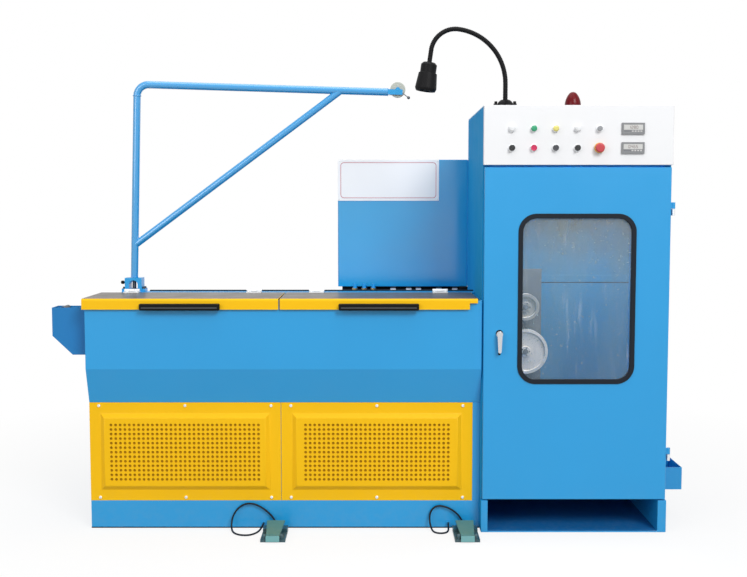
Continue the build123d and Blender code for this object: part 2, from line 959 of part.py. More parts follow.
with BuildPart() as control_caps:
    for spot_x, spot_z in plain_spots:
        rod_y(spot_x, (cap_face, front - bezel_height), spot_z, cap_radius)
    for spot_x, spot_z in selector_spots:
        block(
            (spot_x - selector_bar / 2, spot_x + selector_bar / 2),
            (cap_face - selector_rise, cap_face),
            (spot_z - cap_radius, spot_z + cap_radius),
        )
save(control_caps, "control_caps")

with BuildPart() as emergency_stop:
    stem_end = front - bezel_height - stop_stem
    rod_y(stop_spot[0], (stem_end, front - bezel_height), stop_spot[1], stop_stem_radius)
    rod_y(stop_spot[0], (stem_end - stop_height, stem_end), stop_spot[1], stop_radius)
    fillet(emergency_stop.edges().sort_by(Axis.Y)[0], stop_round)
save(emergency_stop, "emergency_stop")

with BuildPart() as panel_meters:
    for row in control_rows:
        screen = (cabinet_left + meter_x, panel_bottom + row)
        with BuildSketch(Plane.XZ.offset(-front)):
            with Locations(screen):
                Rectangle(meter_width, meter_height)
        extrude(amount=meter_proud)
        with BuildSketch(Plane.XZ.offset(meter_proud - front)):
            with Locations(screen):
                Rectangle(meter_width - 2 * meter_screen_margin, meter_height - 2 * meter_screen_margin)
        extrude(amount=-meter_screen_depth, mode=Mode.SUBTRACT)
save(panel_meters, "panel_meters")


# Work lamp and beacon on the roof

lamp_x = cabinet_left + lamp_inset
lamp_y = front + lamp_setback
neck_foot = cabinet_height + lamp_dome_height
flange_top = cabinet_height + lamp_flange_height

with BuildPart() as lamp_base:
    with BuildSketch(Plane.XZ.offset(-lamp_y)):
        with BuildLine():
            Polyline(
                (lamp_x, cabinet_height),
                (lamp_x + lamp_flange_radius, cabinet_height),
                (lamp_x + lamp_flange_radius, flange_top),
                (lamp_x + lamp_dome_foot_radius, flange_top),
            )
            ThreePointArc(
                (lamp_x + lamp_dome_foot_radius, flange_top),
                (lamp_x + lamp_dome_waist_radius, (flange_top + neck_foot) / 2),
                (lamp_x + lamp_dome_radius, neck_foot),
            )
            Polyline((lamp_x + lamp_dome_radius, neck_foot), (lamp_x, neck_foot), (lamp_x, cabinet_height))
        make_face()
    revolve(axis=Axis((lamp_x, lamp_y, 0), (0, 0, 1)))
save(lamp_base, "lamp_base")

with BuildPart() as gooseneck:
    with BuildLine(Plane.XZ.offset(-lamp_y)):
        rise = Line((lamp_x, neck_foot), (lamp_x, neck_foot + neck_rise))
        large = JernArc(rise @ 1, rise % 1, neck_large_bend, neck_large_turn)
        small = JernArc(large @ 1, large % 1, neck_small_bend, neck_small_turn)
        drop = PolarLine(small @ 1, neck_drop_length, direction=small % 1)
    with BuildSketch(Plane.XY.offset(neck_foot)):
        with Locations((lamp_x, lamp_y)):
            Circle(neck_radius)
    sweep()
save(gooseneck, "gooseneck")

head_at = drop @ 1
head_axis = drop % 1
head_plane = Plane(origin=head_at, x_dir=(head_axis.Z, 0, -head_axis.X), z_dir=(0, 1, 0))
head_length = head_collar_length + head_cone_length


def head_point(radius, along):
    """Give the sketch position of a point at a radius and a distance along the lamp head."""
    return head_plane.to_local_coords(head_at + head_axis * along + head_plane.x_dir * radius)


with BuildPart() as lamp_head:
    with BuildSketch(head_plane):
        with BuildLine():
            Polyline(
                head_point(0, 0),
                head_point(head_collar_radius - head_collar_chamfer, 0),
                head_point(head_collar_radius, head_collar_chamfer),
                head_point(head_collar_radius, head_collar_length),
                head_point(head_shoulder_radius, head_collar_length),
                head_point(head_cone_radius, head_length - head_lip_length),
                head_point(head_mouth_radius, head_length),
                head_point(head_mouth_radius - head_wall, head_length),
                head_point(head_collar_radius - head_wall, head_length - head_cavity),
                head_point(0, head_length - head_cavity),
                close=True,
            )
        make_face()
    revolve(axis=Axis(head_at, head_axis))
save(lamp_head, "lamp_head")

beacon_x = cabinet_left + beacon_inset
beacon_y = front + beacon_setback

with BuildPart() as beacon:
    dome_radius = beacon_radius - beacon_lip
    dome_foot = cabinet_height + beacon_base_height
    straight_rise = beacon_height - beacon_base_height - beacon_tip_radius
    side_turn = 2 * atan2(dome_radius - beacon_tip_radius, straight_rise)
    side_radius = beacon_tip_radius + straight_rise / sin(side_turn)
    rod_z(beacon_x, beacon_y, (cabinet_height, dome_foot), beacon_radius)
    with BuildSketch(Plane.XZ.offset(-beacon_y)):
        with BuildLine():
            side = JernArc((beacon_x + dome_radius, dome_foot), (0, 1), side_radius, degrees(side_turn))
            tip = JernArc(side @ 1, side % 1, beacon_tip_radius, 90 - degrees(side_turn))
            Polyline(tip @ 1, (beacon_x, dome_foot), side @ 0)
        make_face()
    revolve(axis=Axis((beacon_x, beacon_y, 0), (0, 0, 1)))
save(beacon, "beacon")


# Sheave column and its two wheels inside the cabinet

column_right = cabinet_left + column_inset
column_top = floor_top + column_height
wheel_x = cabinet_left + wheel_inset
upper_wheel_z = floor_top + upper_wheel_rise
lower_wheel_z = floor_top + lower_wheel_rise
column_front = front + column_setback
wheel_back = column_front - wheel_standoff
wheel_front = wheel_back - wheel_width

with BuildPart() as sheave_column:
    block(
        (column_right - column_width, column_right),
        (column_front, column_front + column_depth),
        (floor_top, column_top),
    )
    for wheel_z in (upper_wheel_z, lower_wheel_z):
        shoulder = (wheel_back + wheel_side_gap, column_front)
        rod_y(wheel_x, shoulder, wheel_z, axle_shoulder_radius)
        rod_y(wheel_x, (wheel_front - axle_end, column_front), wheel_z, wheel_axle_radius)
save(sheave_column, "sheave_column")


def cabinet_wheel(height, radius):
    """Make one grooved wheel with a dished web, turning about Y."""
    middle = (wheel_front + wheel_back) / 2
    bore = wheel_axle_radius + running_play
    with BuildPart() as wheel:
        with BuildSketch(Plane.XY.offset(height)):
            with BuildLine():
                Polyline(
                    (wheel_x + bore, wheel_back),
                    (wheel_x + wheel_hub_radius, wheel_back),
                    (wheel_x + wheel_hub_radius, wheel_back - wheel_dish),
                    (wheel_x + radius - wheel_rim, wheel_back - wheel_dish),
                    (wheel_x + radius - wheel_rim, wheel_back),
                    (wheel_x + radius, wheel_back),
                    (wheel_x + radius - wheel_groove, middle),
                    (wheel_x + radius, wheel_front),
                    (wheel_x + radius - wheel_rim, wheel_front),
                    (wheel_x + radius - wheel_rim, wheel_front + wheel_dish),
                    (wheel_x + wheel_hub_radius, wheel_front + wheel_dish),
                    (wheel_x + wheel_hub_radius, wheel_front),
                    (wheel_x + bore, wheel_front),
                    close=True,
                )
            make_face()
        revolve(axis=Axis((wheel_x, 0, height), (0, 1, 0)))
    return wheel


upper_sheave = cabinet_wheel(upper_wheel_z, upper_wheel_radius)
save(upper_sheave, "upper_sheave")
lower_wheel = cabinet_wheel(lower_wheel_z, lower_wheel_radius)
save(lower_wheel, "lower_wheel")


# Door with its window, lever and hinges

door_middle = ((door_left + door_right) / 2, (door_bottom + door_top) / 2)
window_middle = (cabinet_left + window_left + window_width / 2, window_bottom + window_height / 2)
lock_middle = (lever_x, lever_z)

with BuildPart() as cabinet_door:
    block((door_left, door_right), (front, door_back), (door_bottom, door_top))
    fillet(cabinet_door.edges().filter_by(Axis.Z).group_by(Axis.Y)[0], door_corner)
    with BuildSketch(Plane.XZ.offset(-door_back)):
        with Locations(door_middle):
            Rectangle(door_right - door_left - 2 * door_rim, door_top - door_bottom - 2 * door_rim)
        with Locations(window_middle):
            Rectangle(window_width + 2 * window_frame, window_height + 2 * window_frame, mode=Mode.SUBTRACT)
        with Locations(lock_middle):
            Rectangle(lock_box_width, lock_box_height, mode=Mode.SUBTRACT)
    extrude(amount=door_thickness - door_skin, mode=Mode.SUBTRACT)
    with BuildSketch(Plane.XZ.offset(-door_back)):
        with Locations(window_middle):
            RectangleRounded(
                window_width - 2 * gasket_lap,
                window_height - 2 * gasket_lap,
                window_corner - gasket_lap,
            )
    extrude(amount=door_thickness, mode=Mode.SUBTRACT)
    rod_y(lever_x, (front, door_back), lever_z, lever_spindle_radius + running_play, Mode.SUBTRACT)
    for hinge_middle in door_hinge_heights:
        upper_half = (hinge_middle + knuckle_gap, hinge_middle + door_hinge_length / 2)
        block(
            (door_right, door_hinge_x),
            (door_hinge_y - door_hinge_radius / 2, door_hinge_y + door_hinge_radius / 2),
            upper_half,
        )
        rod_z(door_hinge_x, door_hinge_y, upper_half, door_hinge_radius)
        rod_z(door_hinge_x, door_hinge_y, upper_half, door_pin_radius + running_play, Mode.SUBTRACT)
save(cabinet_door, "cabinet_door")

with BuildPart() as door_hinge_pins:
    for hinge_middle in door_hinge_heights:
        lower_half = (hinge_middle - door_hinge_length / 2, hinge_middle)
        block(
            (cabinet_right, door_hinge_x),
            (door_hinge_y, door_hinge_y + door_hinge_strap),
            lower_half,
        )
        rod_z(door_hinge_x, door_hinge_y, lower_half, door_hinge_radius)
        pin_top = hinge_middle + door_hinge_length / 2 - knuckle_gap
        rod_z(door_hinge_x, door_hinge_y, (hinge_middle, pin_top), door_pin_radius)
save(door_hinge_pins, "door_hinge_pins")

with BuildPart() as window_gasket:
    with BuildSketch(Plane.XZ.offset(-front)):
        with Locations(window_middle):
            RectangleRounded(window_width, window_height, window_corner)
            RectangleRounded(
                window_width - 2 * gasket_width,
                window_height - 2 * gasket_width,
                window_corner - gasket_width,
                mode=Mode.SUBTRACT,
            )
    extrude(amount=gasket_proud)
    with BuildSketch(Plane.XZ.offset(-front - gasket_depth)):
        with Locations(window_middle):
            RectangleRounded(
                window_width - 2 * (gasket_lap + glass_play),
                window_height - 2 * (gasket_lap + glass_play),
                window_corner - gasket_lap - glass_play,
            )
            RectangleRounded(
                window_width - 2 * gasket_width,
                window_height - 2 * gasket_width,
                window_corner - gasket_width,
                mode=Mode.SUBTRACT,
            )
    extrude(amount=gasket_depth)
save(window_gasket, "window_gasket")

with BuildPart() as window_glass:
    with BuildSketch(Plane.XZ.offset(-front - glass_inset - glass_thickness)):
        with Locations(window_middle):
            RectangleRounded(
                window_width - 2 * (gasket_width + glass_play),
                window_height - 2 * (gasket_width + glass_play),
                window_corner - gasket_width - glass_play,
            )
    extrude(amount=glass_thickness)
save(window_glass, "window_glass")

lever_back = front - lever_standoff

with BuildPart() as door_handle:
    with BuildSketch(Plane.XZ.offset(-lever_back)):
        with Locations((lever_x, lever_z)):
            Circle(lever_head_radius)
        with Locations((lever_x, lever_z - lever_drop)):
            Circle(lever_tip_radius)
        make_hull()
    extrude(amount=lever_thickness)
    rod_y(lever_x, (lever_back, front - running_play), lever_z, lever_collar_radius)
    rod_y(lever_x, (lever_back, door_back), lever_z, lever_spindle_radius)
save(door_handle, "door_handle")


# Tray on the right side

with BuildPart() as side_tray:
    block(
        (cabinet_right, cabinet_right + tray_reach),
        (front + tray_setback, front + tray_setback + tray_depth),
        (tray_bottom, tray_bottom + tray_height),
    )
    offset(amount=-tray_sheet, openings=side_tray.faces().sort_by(Axis.Z)[-1])
save(side_tray, "side_tray")


# Foot switches

pedal_left_x = bed_left + pedal_left_inset
pedal_right_x = bed_left + pedal_right_inset
pedal_y = front + pedal_front
pedal_back = pedal_y + pedal_length
pivot_y = pedal_y + pedal_pivot_inset
lug_inner = treadle_front_width / 2 + moving_gap / 2
lug_outer = lug_inner + pedal_cheek

with BuildPart() as pedal_bases:
    for pedal_x in (pedal_left_x, pedal_right_x):
        sides = (pedal_x - pedal_width / 2, pedal_x + pedal_width / 2)
        block(sides, (pedal_y, pedal_back), (0, pedal_plate))
        block(sides, (pedal_back - pedal_switch_length, pedal_back), (0, pedal_switch_height))
        for lug in ((pedal_x - lug_outer, pedal_x - lug_inner), (pedal_x + lug_inner, pedal_x + lug_outer)):
            block(lug, (pivot_y - pedal_lug_radius, pivot_y + pedal_lug_radius), (0, pedal_pivot_height))
            rod_x(lug, pivot_y, pedal_pivot_height, pedal_lug_radius)
        rod_x((pedal_x - lug_outer, pedal_x + lug_outer), pivot_y, pedal_pivot_height, pedal_pin_radius)
        rod_y(pedal_x, (pedal_back, pedal_back + gland_length), pedal_switch_height / 2, gland_radius)
save(pedal_bases, "pedal_bases")


def treadle(pedal_x):
    """Make one treadle: a tapering plate with a front apron, turning on the pin behind its nose."""
    slope = atan2(treadle_back_height - pedal_pivot_height, pedal_back - pivot_y)
    length = (pedal_back - pivot_y) / cos(slope)
    plate_plane = Plane(
        origin=(pedal_x, pivot_y, pedal_pivot_height),
        x_dir=(1, 0, 0),
        z_dir=(0, -sin(slope), cos(slope)),
    )
    with BuildPart() as plate:
        with BuildSketch(plate_plane):
            with BuildLine():
                Polyline(
                    (-treadle_front_width / 2, 0),
                    (treadle_front_width / 2, 0),
                    (treadle_back_width / 2, length),
                    (-treadle_back_width / 2, length),
                    close=True,
                )
            make_face()
        extrude(amount=treadle_thickness)
        across = (pedal_x - treadle_front_width / 2, pedal_x + treadle_front_width / 2)
        rod_x(across, pivot_y, pedal_pivot_height, pedal_lug_radius)
        nose_top = pedal_pivot_height + treadle_thickness
        nose_front = pivot_y - treadle_nose
        block(across, (nose_front, pivot_y), (pedal_pivot_height, nose_top))
        block(across, (nose_front, nose_front + apron_sheet), (apron_foot, nose_top))
        bore_span = (pedal_x - treadle_back_width / 2, pedal_x + treadle_back_width / 2)
        rod_x(bore_span, pivot_y, pedal_pivot_height, pedal_pin_radius + running_play, Mode.SUBTRACT)
    return plate


left_treadle = treadle(pedal_left_x)
save(left_treadle, "left_treadle")
right_treadle = treadle(pedal_right_x)
save(right_treadle, "right_treadle")


# Cords of the foot switches, from the switch's gland to a gland in the skirt

cord_end_y = skirt_face - gland_length
cord_start = (0, pedal_back + gland_length - front, pedal_switch_height / 2)
left_cord_route = [
    cord_start,
    (0, 46, pedal_switch_height / 2),
    (-6, 53, 34),
    (-27, 53, 64),
    (-60, 52, 92),
    (-98, 51, 112),
    (-136, 50, 113),
    (-169, 48, 93),
    (-190, 46, 60),
    (-196, 38, 30),
    (-193, 18, 10),
    (-185, -8, 4.5),
    (-169, -36, 4),
    (-143, -54, 4),
    (-112, -55, 4),
    (-90, -36, 4),
    (-76, -8, 4),
    (-66, 20, 9),
    (-left_cord_shift, 44, floor_gland_height),
    (-left_cord_shift, cord_end_y - front, floor_gland_height),
]
right_cord_route = [
    cord_start,
    (0, 46, pedal_switch_height / 2),
    (-6, 53, 34),
    (-25, 53, 62),
    (-51, 52, 84),
    (-80, 52, 98),
    (-110, 51, 104),
    (-135, 50, 94),
    (-149, 48, 70),
    (-151, 43, 43),
    (-147, 30, 20),
    (-141, 7, 7),
    (-130, -18, 4),
    (-105, -29, 4),
    (-80, -18, 4),
    (-70, 7, 6),
    (-69, 31, 14),
    (-right_cord_shift, 46, floor_gland_height),
    (-right_cord_shift, cord_end_y - front, floor_gland_height),
]


def corner_radii(route):
    """Work out the largest even arc for each corner of a cord's route."""
    points = [Vector(*point) for point in route]
    radii = []
    for before, corner, after in zip(points, points[1:], points[2:]):
        turn = radians((corner - before).get_angle(after - corner))
        shorter = min((corner - before).length, (after - corner).length)
        radii.append(cord_corner_share * shorter / tan(turn / 2))
    return radii


def pedal_cord(pedal_x, steps):
    """Make one cord as a round tube along straight runs joined by arcs."""
    route = [(pedal_x + along, front + back, up) for along, back, up in steps]
    radii = corner_radii(route)
    print("cord radii", [round(radius, 1) for radius in radii])
    with BuildPart() as cord:
        with BuildLine() as line:
            FilletPolyline(*route, radius=radii)
        with BuildSketch(Plane(origin=route[0], z_dir=Vector(*route[1]) - Vector(*route[0]))):
            Circle(cord_radius)
        sweep()
    length = sum(edge.length for edge in line.edges())
    share = cord.part.volume / (length * pi * cord_radius**2)
    print("cord length", round(length, 1), "volume over section times length", round(share, 4))
    return cord


left_pedal_cord = pedal_cord(pedal_left_x, left_cord_route)
save(left_pedal_cord, "left_pedal_cord")
right_pedal_cord = pedal_cord(pedal_right_x, right_cord_route)
save(right_pedal_cord, "right_pedal_cord")

with BuildPart() as cord_glands:
    for gland_x in (pedal_left_x - left_cord_shift, pedal_right_x - right_cord_shift):
        rod_y(gland_x, (cord_end_y, skirt_face), floor_gland_height, gland_radius)
save(cord_glands, "cord_glands")
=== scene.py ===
"""Portrait of a wire drawing machine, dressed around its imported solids."""

import json
import logging
import math
from collections.abc import Callable, Iterator, Sequence
from contextlib import contextmanager
from dataclasses import dataclass, field
from enum import Enum
from functools import cache

import bpy
from mathutils import Matrix, Vector


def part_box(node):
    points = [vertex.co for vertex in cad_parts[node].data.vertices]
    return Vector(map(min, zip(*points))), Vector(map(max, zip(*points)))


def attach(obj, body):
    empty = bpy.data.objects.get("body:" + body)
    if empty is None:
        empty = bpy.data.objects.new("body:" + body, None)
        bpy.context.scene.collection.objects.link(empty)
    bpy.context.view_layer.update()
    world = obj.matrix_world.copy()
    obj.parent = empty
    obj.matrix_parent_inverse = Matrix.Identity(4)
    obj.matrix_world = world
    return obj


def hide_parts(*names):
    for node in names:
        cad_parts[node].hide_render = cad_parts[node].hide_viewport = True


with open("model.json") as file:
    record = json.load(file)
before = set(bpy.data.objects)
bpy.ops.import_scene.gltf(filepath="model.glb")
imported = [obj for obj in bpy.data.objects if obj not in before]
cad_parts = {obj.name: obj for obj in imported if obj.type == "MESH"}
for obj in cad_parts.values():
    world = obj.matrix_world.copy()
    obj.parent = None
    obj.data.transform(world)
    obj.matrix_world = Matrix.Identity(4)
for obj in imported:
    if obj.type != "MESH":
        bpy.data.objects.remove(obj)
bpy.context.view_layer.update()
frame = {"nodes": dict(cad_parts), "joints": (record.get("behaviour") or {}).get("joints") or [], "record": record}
BODIES = frame["record"]["behaviour"]["bodies"]
BODY_OF = {node: body for body, nodes in BODIES.items() for node in nodes}
MACHINE = "machine"

log = logging.getLogger("wire_drawing_machine")

Rgb = tuple[int, int, int]
Piece = bpy.types.Object
UP = Vector((0, 0, 1))
FRONT = Vector((0, -1, 0))
RIGHT = Vector((1, 0, 0))
RANGE_SOCKETS = ("From Min", "From Max", "To Min", "To Max")
COAT_ROUGHNESS = 0.08


# Modelling tools


class Kind(Enum):
    """What an edit picks: faces or edges, with the name of the mesh's list of them."""

    FACE = "polygons"
    EDGE = "edges"


def deselect_all() -> None:
    """Clear the selection in object mode."""
    bpy.ops.object.select_all(action="DESELECT")


def take(piece: Piece) -> Piece:
    """Make one piece the only selected and the active one.

    Args:
        piece: The piece to work on.

    Returns:
        The same piece.
    """
    deselect_all()
    piece.select_set(True)
    bpy.context.view_layer.objects.active = piece
    return piece


@contextmanager
def picked(piece: Piece, kind: Kind, test: Callable[[object], bool]) -> Iterator[None]:
    """Edit a piece with the faces or edges selected that pass a test.

    Args:
        piece: The piece to edit.
        kind: Faces or edges.
        test: Says whether a face or edge is selected.
    """
    take(piece)
    bpy.ops.object.mode_set(mode="EDIT")
    bpy.ops.mesh.select_mode(type=kind.name)
    bpy.ops.mesh.select_all(action="DESELECT")
    bpy.ops.object.mode_set(mode="OBJECT")
    for part in getattr(piece.data, kind.value):
        part.select = test(part)
    bpy.ops.object.mode_set(mode="EDIT")
    yield
    bpy.ops.object.mode_set(mode="OBJECT")


def everything(_: object) -> bool:
    """Select all."""
    return True


def toward(*ways: Vector, share: float = 0.9) -> Callable[[bpy.types.MeshPolygon], bool]:
    """Make a test for the faces that look one of the given ways.

    Args:
        ways: The ways, of length one.
        share: How much of a face's normal has to lie along a way.

    Returns:
        The test.
    """
    return lambda face: any(face.normal.dot(way) > share for way in ways)


def new_piece(name: str) -> Piece:
    """Name the primitive just added and put its place into its mesh.

    Args:
        name: The piece's name.

    Returns:
        The piece, at the origin, unturned and unscaled.
    """
    piece = bpy.context.object
    piece.name = name
    piece.data.name = name
    bpy.ops.object.transform_apply(location=True, rotation=True, scale=True)
    return piece


def cuboid(name: str, low: Sequence[float], high: Sequence[float]) -> Piece:
    """Start a piece from a block between two corners.

    Args:
        name: The piece's name.
        low: Lowest corner.
        high: Highest corner.

    Returns:
        The piece.
    """
    deselect_all()
    size = Vector(high) - Vector(low)
    middle = (Vector(high) + Vector(low)) / 2
    bpy.ops.mesh.primitive_cube_add(size=1, location=middle, scale=size)
    return new_piece(name)


def rod(name: str, start: Sequence[float], end: Sequence[float], radius: float, sides: int = 24) -> Piece:
    """Start a piece from a round bar between two points.

    Args:
        name: The piece's name.
        start: Middle of one end.
        end: Middle of the other end, which faces along the bar.
        radius: The bar's radius.
        sides: Number of sides.

    Returns:
        The piece.
    """
    deselect_all()
    way = Vector(end) - Vector(start)
    turn = way.to_track_quat("Z", "Y").to_euler()
    middle = (Vector(start) + Vector(end)) / 2
    bpy.ops.mesh.primitive_cylinder_add(
        vertices=sides, radius=radius, depth=way.length, location=middle, rotation=turn
    )
    return new_piece(name)


def apply_modifier(piece: Piece, kind: str, **settings: object) -> Piece:
    """Add a modifier to a piece and apply it.

    Args:
        piece: The piece.
        kind: The modifier's type.
        settings: Its settings.

    Returns:
        The same piece.
    """
    take(piece)
    modifier = piece.modifiers.new(kind.title(), kind)
    for name, value in settings.items():
        setattr(modifier, name, value)
    bpy.ops.object.modifier_apply(modifier=modifier.name)
    return piece


def soften(piece: Piece, width: float, segments: int = 2, angle: float = 35.0) -> Piece:
    """Round a piece's sharp edges and shade the rest flat or smooth as it lies.

    Args:
        piece: The piece.
        width: Width of the rounding.
        segments: Steps across it.
        angle: Edges sharper than this, in degrees, are rounded.

    Returns:
        The same piece.
    """
    limit = math.radians(angle)
    if width > 0:
        apply_modifier(
            piece, "BEVEL", width=width, segments=segments, limit_method="ANGLE", angle_limit=limit
        )
    take(piece)
    bpy.ops.object.shade_smooth_by_angle(angle=limit)
    return apply_modifier(piece, "WEIGHTED_NORMAL", keep_sharp=True)


def copy_of(piece: Piece, name: str, place: Matrix | None = None) -> Piece:
    """Copy a piece with a mesh of its own.

    Args:
        piece: The piece to copy.
        name: The copy's name.
        place: Where the copy goes, as a change of its mesh.

    Returns:
        The copy.
    """
    twin = bpy.data.objects.new(name, piece.data.copy())
    bpy.context.scene.collection.objects.link(twin)
    twin.data.name = name
    if place is not None:
        twin.data.transform(place)
    return twin


def join(name: str, pieces: Sequence[Piece]) -> Piece:
    """Join several pieces into one mesh.

    Args:
        name: The name of the whole.
        pieces: The pieces to join.

    Returns:
        The whole.
    """
    take(pieces[0])
    for piece in pieces[1:]:
        piece.select_set(True)
    if len(pieces) > 1:
        bpy.ops.object.join()
    whole = bpy.context.view_layer.objects.active
    whole.name = name
    whole.data.name = name
    return whole


def stamp(model: Piece, name: str, places: Sequence[Matrix]) -> Piece:
    """Copy a modelled piece to many places as one mesh, and put the model away.

    Args:
        model: The piece, modelled at the origin.
        name: The name of the set.
        places: Where the copies go.

    Returns:
        The set.
    """
    copies = [copy_of(model, f"{name}_{i}", place) for i, place in enumerate(places)]
    bpy.data.objects.remove(model)
    return join(name, copies)


def facing(at: Sequence[float], way: Sequence[float]) -> Matrix:
    """Give the place of a fastener whose head looks a given way.

    Args:
        at: Where it sits.
        way: The way its head looks.

    Returns:
        The place as a matrix.
    """
    turn = Vector(way).to_track_quat("Z", "Y").to_matrix().to_4x4()
    return Matrix.Translation(Vector(at)) @ turn


def hex_bolt(across: float, height: float) -> Piece:
    """Model a hexagon bolt head on a washer at the origin, looking up.

    Args:
        across: Width of the head.
        height: Height of the head.

    Returns:
        The bolt head.
    """
    washer = height / 3
    washer_radius = across * 0.72
    head = rod("bolt_head", (0, 0, washer), (0, 0, washer + height), across / 2, sides=6)
    with picked(head, Kind.FACE, toward(UP)):
        bpy.ops.mesh.inset(thickness=across / 10, depth=height / 8)
    plate = rod("bolt_washer", (0, 0, 0), (0, 0, washer), washer_radius, sides=20)
    bolt = join("bolt", [head, plate])
    return soften(bolt, across / 40, 1)


def screw_head(radius: float, height: float) -> Piece:
    """Model a domed screw with a socket at the origin, looking up.

    Args:
        radius: Radius of the head.
        height: Height of the head.

    Returns:
        The screw head.
    """
    head = rod("screw", (0, 0, 0), (0, 0, height), radius, sides=18)
    step, dome, socket = radius * 0.3, height * 0.4, height * 0.5
    with picked(head, Kind.FACE, toward(UP)):
        bpy.ops.mesh.inset(thickness=step, depth=dome)
        bpy.ops.mesh.inset(thickness=step)
        bpy.ops.mesh.inset(thickness=radius * 0.02, depth=-socket)
    return soften(head, 0)


def weld_bead(name: str, place: Matrix, radius: float, bead: float) -> Piece:
    """Model a weld bead round a tube, with the ripples that a welder leaves.

    Args:
        name: The bead's name.
        place: Middle of the bead, with Z along the tube.
        radius: The tube's radius.
        bead: Radius of the bead.

    Returns:
        The bead.
    """
    deselect_all()
    bpy.ops.mesh.primitive_torus_add(
        major_radius=radius, minor_radius=bead, major_segments=72, minor_segments=8
    )
    piece = new_piece(name)
    ripple, ripples = 0.16, 18
    for vertex in piece.data.vertices:
        round_way = math.atan2(vertex.co.y, vertex.co.x)
        vertex.co.z *= 1 + ripple * math.sin(ripples * round_way)
    piece.data.transform(place)
    return soften(piece, 0, angle=60)


# Finishes


def linear(color: Rgb) -> tuple[float, float, float, float]:
    """Turn a colour as a screen shows it into the shader's linear values.

    Args:
        color: Red, green and blue from 0 to 255.

    Returns:
        The linear values and full opacity.
    """

    def channel(value: int) -> float:
        """Turn one of the colour's three values."""
        share = value / 255
        return share / 12.92 if share <= 0.04045 else ((share + 0.055) / 1.055) ** 2.4

    return (*(channel(value) for value in color), 1.0)


class Nodes:
    """A material's nodes, with short calls for the textures that the finishes share."""

    def __init__(self, name: str) -> None:
        """Start a material with its shader and Object coordinates.

        Args:
            name: The material's name.
        """
        self.material = bpy.data.materials.new(name)
        self.material.use_nodes = True
        self.tree = self.material.node_tree
        self.shader = self.tree.nodes["Principled BSDF"]
        self.place = self.add("ShaderNodeTexCoord").outputs["Object"]

    def add(self, kind: str, **settings: object) -> bpy.types.Node:
        """Add a node and set its own properties.

        Args:
            kind: The node's type.
            settings: Its properties.

        Returns:
            The node.
        """
        node = self.tree.nodes.new(kind)
        for name, value in settings.items():
            setattr(node, name, value)
        return node

    def feed(self, socket: bpy.types.NodeSocket, value: object) -> None:
        """Link a socket to another node's output, or set its value.

        Args:
            socket: The socket.
            value: The output or the value.
        """
        if isinstance(value, bpy.types.NodeSocket):
            self.tree.links.new(value, socket)
        else:
            socket.default_value = value

    def mapped(self, scale: Sequence[float], shift: Sequence[float] = (0, 0, 0)) -> bpy.types.NodeSocket:
        """Stretch and shift the Object coordinates.

        Args:
            scale: Stretch along each axis.
            shift: Shift along each axis, after the stretch.

        Returns:
            The coordinates.
        """
        node = self.add("ShaderNodeMapping")
        self.feed(node.inputs["Vector"], self.place)
        node.inputs["Scale"].default_value = scale
        node.inputs["Location"].default_value = shift
        return node.outputs["Vector"]

    def noise(
        self, scale: float, detail: float = 3.0, stretch: Sequence[float] = (1, 1, 1)
    ) -> bpy.types.NodeSocket:
        """Make a noise.

        Args:
            scale: How fine it is, per metre.
            detail: How many finer layers it has.
            stretch: Stretch along each axis.

        Returns:
            The noise's value.
        """
        node = self.add("ShaderNodeTexNoise")
        self.feed(node.inputs["Vector"], self.mapped(stretch))
        node.inputs["Scale"].default_value = scale
        node.inputs["Detail"].default_value = detail
        return node.outputs["Fac"]

    def spread(
        self, value: object, low: float, high: float, start: float = 0.3, end: float = 0.7
    ) -> bpy.types.NodeSocket:
        """Spread a value between two limits.

        Args:
            value: The value.
            low: What it becomes at the start.
            high: What it becomes at the end.
            start: The value at the start.
            end: The value at the end.

        Returns:
            The new value.
        """
        node = self.add("ShaderNodeMapRange")
        self.feed(node.inputs["Value"], value)
        for name, number in zip(RANGE_SOCKETS, (start, end, low, high)):
            node.inputs[name].default_value = number
        return node.outputs["Result"]

    def blend(self, share: object, first: object, second: object) -> bpy.types.NodeSocket:
        """Mix two colours.

        Args:
            share: Share of the second.
            first: The first colour.
            second: The second colour.

        Returns:
            The mixed colour.
        """
        node = self.add("ShaderNodeMix", data_type="RGBA")
        self.feed(node.inputs[0], share)
        self.feed(node.inputs[6], first)
        self.feed(node.inputs[7], second)
        return node.outputs[2]

    def combine(self, way: str, first: object, second: object) -> bpy.types.NodeSocket:
        """Work out a sum, product or other combination of two values.

        Args:
            way: The operation.
            first: The first value.
            second: The second value.

        Returns:
            The outcome.
        """
        node = self.add("ShaderNodeMath", operation=way)
        self.feed(node.inputs[0], first)
        self.feed(node.inputs[1], second)
        return node.outputs[0]

    def height(self) -> bpy.types.NodeSocket:
        """Give the height over the floor.

        Returns:
            The height in metres.
        """
        node = self.add("ShaderNodeSeparateXYZ")
        self.feed(node.inputs[0], self.place)
        return node.outputs["Z"]

    def relief(self, value: object, depth: float, strength: float = 1.0) -> None:
        """Raise the surface by a value.

        Args:
            value: The height as a share.
            depth: The full height.
            strength: How strongly it shows.
        """
        node = self.add("ShaderNodeBump")
        self.feed(node.inputs["Height"], value)
        node.inputs["Distance"].default_value = depth
        node.inputs["Strength"].default_value = strength
        self.feed(self.shader.inputs["Normal"], node.outputs["Normal"])

    def settle(self, **values: object) -> None:
        """Set or link the shader's sockets, named with underscores for spaces."""
        for name, value in values.items():
            self.feed(self.shader.inputs[name.replace("_", " ").title().replace("Ior", "IOR")], value)


